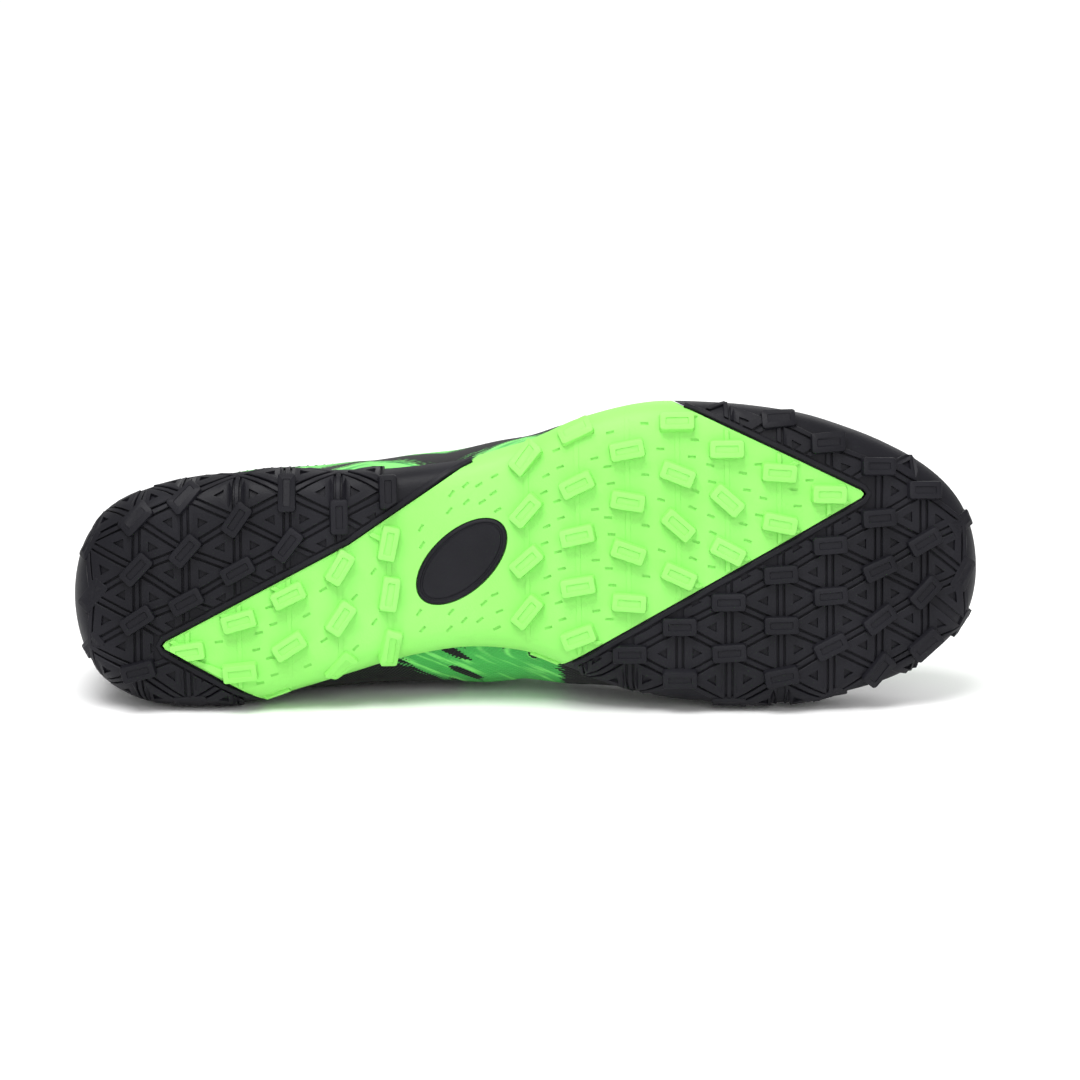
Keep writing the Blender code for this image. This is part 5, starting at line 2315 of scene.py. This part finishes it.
@dataclass
class Laces:
    """The flat lace that crosses the throat through six pairs of eyelets, and its eyelets."""

    upper: Upper
    width: float = 4.6 * MM
    thickness: float = 1.2 * MM
    first: float = 0.625
    final: float = 0.425
    pairs: int = 6
    setback: float = 6.5 * MM
    eyelet: float = 1.9 * MM
    bead: float = 0.45 * MM
    bead_sides: int = 8
    disc_thickness: float = 0.2 * MM
    disc_depth: float = 0.3 * MM
    ring_rise: float = 0.75 * MM
    ring_sides: int = 24
    clearance: float = 0.95 * MM
    over: float = 0.55 * MM
    dip: float = 2.4 * MM
    dip_from: float = 0.91
    narrowing: float = 0.34
    narrow_part: tuple[float, float] = (0.72, 0.95)
    steps: int = 34

    def rows(self) -> list[float]:
        """The stations of the eyelets, from the toe on."""
        gap = (self.final - self.first) / (self.pairs - 1)
        return [self.first + gap * i for i in range(self.pairs)]

    def reach(self, station: float) -> float:
        """How far an eyelet stands from the ridge."""
        return self.upper.form.at("throat", station) + self.setback

    def run(self, start: tuple[float, Side], end: tuple[float, Side]) -> BMesh:
        """One length of lace from out of an eyelet, over the throat and into another.

        Args:
            start: The first eyelet's station and side.
            end: The other's.

        Returns:
            The length. One that starts on the lateral side passes over the other.
        """
        path, ups, widths = [], [], []
        lift = self.over if start[1] is Side.LATERAL else 0.0
        for i in range(self.steps + 1):
            share = i / self.steps
            station = start[0] + (end[0] - start[0]) * share
            swing = start[1].value + (end[1].value - start[1].value) * share
            rise = self.thickness / 2 + self.clearance + lift * (1 - abs(swing)) * 2
            rise -= self.dip * smooth(self.dip_from, 1.0, abs(swing))
            widths.append(1 - self.narrowing * smooth(*self.narrow_part, abs(swing)))
            spot, outward = self.upper.form.over_instep(station, self.reach(station) * swing, rise)
            path.append(spot)
            ups.append(outward)
        return sweep(path, ups, oval_section(self.width, self.thickness, 16, 0.55), widths)

    def build(self, world: Matrix) -> Object:
        """Makes the whole lace. Its ends stop inside the top eyelets."""
        rows = self.rows()
        runs = [self.run((rows[0], Side.MEDIAL), (rows[0], Side.LATERAL))]
        for low, high in zip(rows, rows[1:]):
            runs.append(self.run((low, Side.LATERAL), (high, Side.MEDIAL)))
            runs.append(self.run((low, Side.MEDIAL), (high, Side.LATERAL)))
        piece = lay_down("flat_lace", merged(runs), world, [Braid()], 50.0)
        return wear(piece, "lace_cloth", "lace")

    def build_eyelets(self, world: Matrix) -> Object:
        """Makes the eyelets: a rounded ring with a dark middle each."""
        rings = []
        for station in self.rows():
            for side in Side:
                offset = self.reach(station) * side.value
                spot, outward = self.upper.form.over_instep(station, offset, self.ring_rise)
                turn = outward.to_track_quat("Z", "Y").to_matrix().to_4x4()
                ring = self.ring()
                ops.transform(ring, matrix=Matrix.Translation(spot) @ turn,
                              verts=ring.verts)
                rings.append(ring)
        piece = lay_down("eyelets", merged(rings), world, [Film()], 60.0)
        return wear(piece, "printed_upper")

    def ring(self) -> BMesh:
        """Makes one eyelet at the origin.

        Returns:
            A rounded ring round a sunk disc.
        """
        mesh, sides = bmesh.new(), self.bead_sides
        section = []
        for k in range(sides):
            turn = 2 * math.pi * k / sides
            out = self.eyelet + self.bead * (1 + math.cos(turn))
            section.append(mesh.verts.new((out, 0, self.bead * math.sin(turn))))
        edges = [mesh.edges.new((section[k], section[(k + 1) % sides])) for k in range(sides)]
        ops.spin(mesh, geom=[*section, *edges], cent=(0, 0, 0), axis=(0, 0, 1),
                 angle=2 * math.pi, steps=self.ring_sides, use_merge=True)
        radius = self.eyelet + self.bead / 2
        disc = ops.create_cone(mesh, cap_ends=True, segments=self.ring_sides,
                               depth=self.disc_thickness, radius1=radius,
                               radius2=radius)["verts"]
        ops.translate(mesh, vec=(0, 0, -self.disc_depth), verts=disc)
        ops.recalc_face_normals(mesh, faces=mesh.faces)
        return mesh


class Seam(NamedTuple):
    """A line of stitches: its first and last station, and its share of each rib."""

    first: float
    final: float
    share: float


SEAMS = (Seam(0.432, 0.632, 0.79), Seam(0.432, 0.632, 0.775), Seam(0.01, 0.36, 0.955))


@dataclass
class Stitching:
    """The seams along the eyestays and under the collar."""

    upper: Upper
    length: float = 2.0 * MM
    gap: float = 0.8 * MM
    radius: float = 0.27 * MM
    flatness: float = 0.7
    rise: float = 0.3 * MM
    bite_mm: float = 0.35
    steps: int = 400

    def line(self, side: Side, seam: Seam) -> list[tuple[Vector, Vector]]:
        """Close points along a seam, each with the outward direction there."""
        stations = [seam.first + (seam.final - seam.first) * i / self.steps
                    for i in range(self.steps + 1)]
        return [self.upper.skin(side, station, seam.share, self.rise) for station in stations]

    def stitch(self, part: Sequence[tuple[Vector, Vector]]) -> BMesh:
        """One stitch over a part of a seam, with both its ends sunk in."""
        places = part[0], part[len(part) // 2], part[-1]
        sunk = self.bite_mm, 0.0, self.bite_mm
        spots = [spot - up * depth * MM for (spot, up), depth in zip(places, sunk)]
        width = 2 * self.radius
        section = oval_section(width, 2 * self.flatness * self.radius, 6, 1.0)
        return sweep(spots, [up for _, up in places], section)

    def sew(self, line: Sequence[tuple[Vector, Vector]], into: BMesh) -> None:
        """Adds the stitches of one seam to a mesh."""
        walked, start = 0.0, 0
        for i in range(1, len(line)):
            walked += (line[i][0] - line[i - 1][0]).length
            if walked >= self.length:
                stitch = self.stitch(line[start:i + 1])
                pour(stitch, into)
                stitch.free()
                walked = -self.gap
            if walked < 0:
                start = i

    def build(self, world: Matrix) -> Object:
        """Sews all seams."""
        mesh = bmesh.new()
        for side in Side:
            for seam in SEAMS:
                self.sew(self.line(side, seam), mesh)
        piece = lay_down("stitches", mesh, world, [THREAD], 60.0, pressed=True)
        return wear(piece, "printed_upper")


# Studio and order of work


@dataclass
class Studio:
    """The camera at the photograph's angle, and soft light round it."""

    elevation: float = 11.7
    lens: float = 150.0
    sensor: float = 36.0
    width: float = 0.3420
    target: Vector = field(default_factory=lambda: Vector((0.0045, -0.055, 0.0565)))

    def build(self) -> None:
        """Sets up camera, lights and backdrop."""
        lift = math.radians(self.elevation)
        back = Vector((0.0, -math.cos(lift), math.sin(lift)))
        data = bpy.data.cameras.new("camera")
        data.lens, data.sensor_width = self.lens, self.sensor
        data.clip_end = 100.0
        camera = bpy.data.objects.new("camera", data)
        bpy.context.scene.collection.objects.link(camera)
        camera.location = self.target + back * (self.width * self.lens / self.sensor)
        camera.rotation_euler = back.to_track_quat("Z", "Y").to_euler()
        bpy.context.scene.camera = camera
        world = bpy.data.worlds.new("studio")
        world.use_nodes = True
        world.node_tree.nodes["Background"].inputs["Color"].default_value = (1, 1, 1, 1)
        world.node_tree.nodes["Background"].inputs["Strength"].default_value = 0.6
        bpy.context.scene.world = world
        bpy.context.scene.view_settings.view_transform = "Standard"
        self.lamp("key", Vector((-0.25, -0.65, 1.4)), 0.9, 24.0)
        self.lamp("front", Vector((0.4, -1.8, 0.9)), 1.0, 10.0)
        self.lamp("rim", Vector((0.4, 1.1, 1.0)), 1.0, 8.0)

    def lamp(self, name: str, spot: Vector, size: float, watts: float) -> None:
        """Hangs a square soft lamp that faces the shoe.

        Args:
            name: Its name.
            spot: Its place.
            size: Its side.
            watts: Its power.
        """
        data = bpy.data.lights.new(name, "AREA")
        data.size, data.energy = size, watts
        item = bpy.data.objects.new(name, data)
        bpy.context.scene.collection.objects.link(item)
        item.location = spot
        item.rotation_euler = (spot - self.target).to_track_quat("Z", "Y").to_euler()


def main() -> None:
    """Builds the studio and every piece of the shoe."""
    logging.basicConfig(level=logging.INFO, format="%(message)s")
    Studio().build()
    Floor().build()
    form = ShoeForm()
    world = lying(form, frame["record"])
    badge = Badge()
    badge.build(form, world)
    Outsole(form, world).build(badge)
    upper = Upper(form, world)
    upper.build()
    Collar(upper).build(world)
    Eyestay(upper).build(world)
    HeelCounter(upper).build(world)
    Tongue(form).build(world)
    Insole(form).build(world)
    laces = Laces(upper)
    laces.build_eyelets(world)
    laces.build(world)
    Stitching(upper).build(world)


if __name__ == "__main__":
    main()
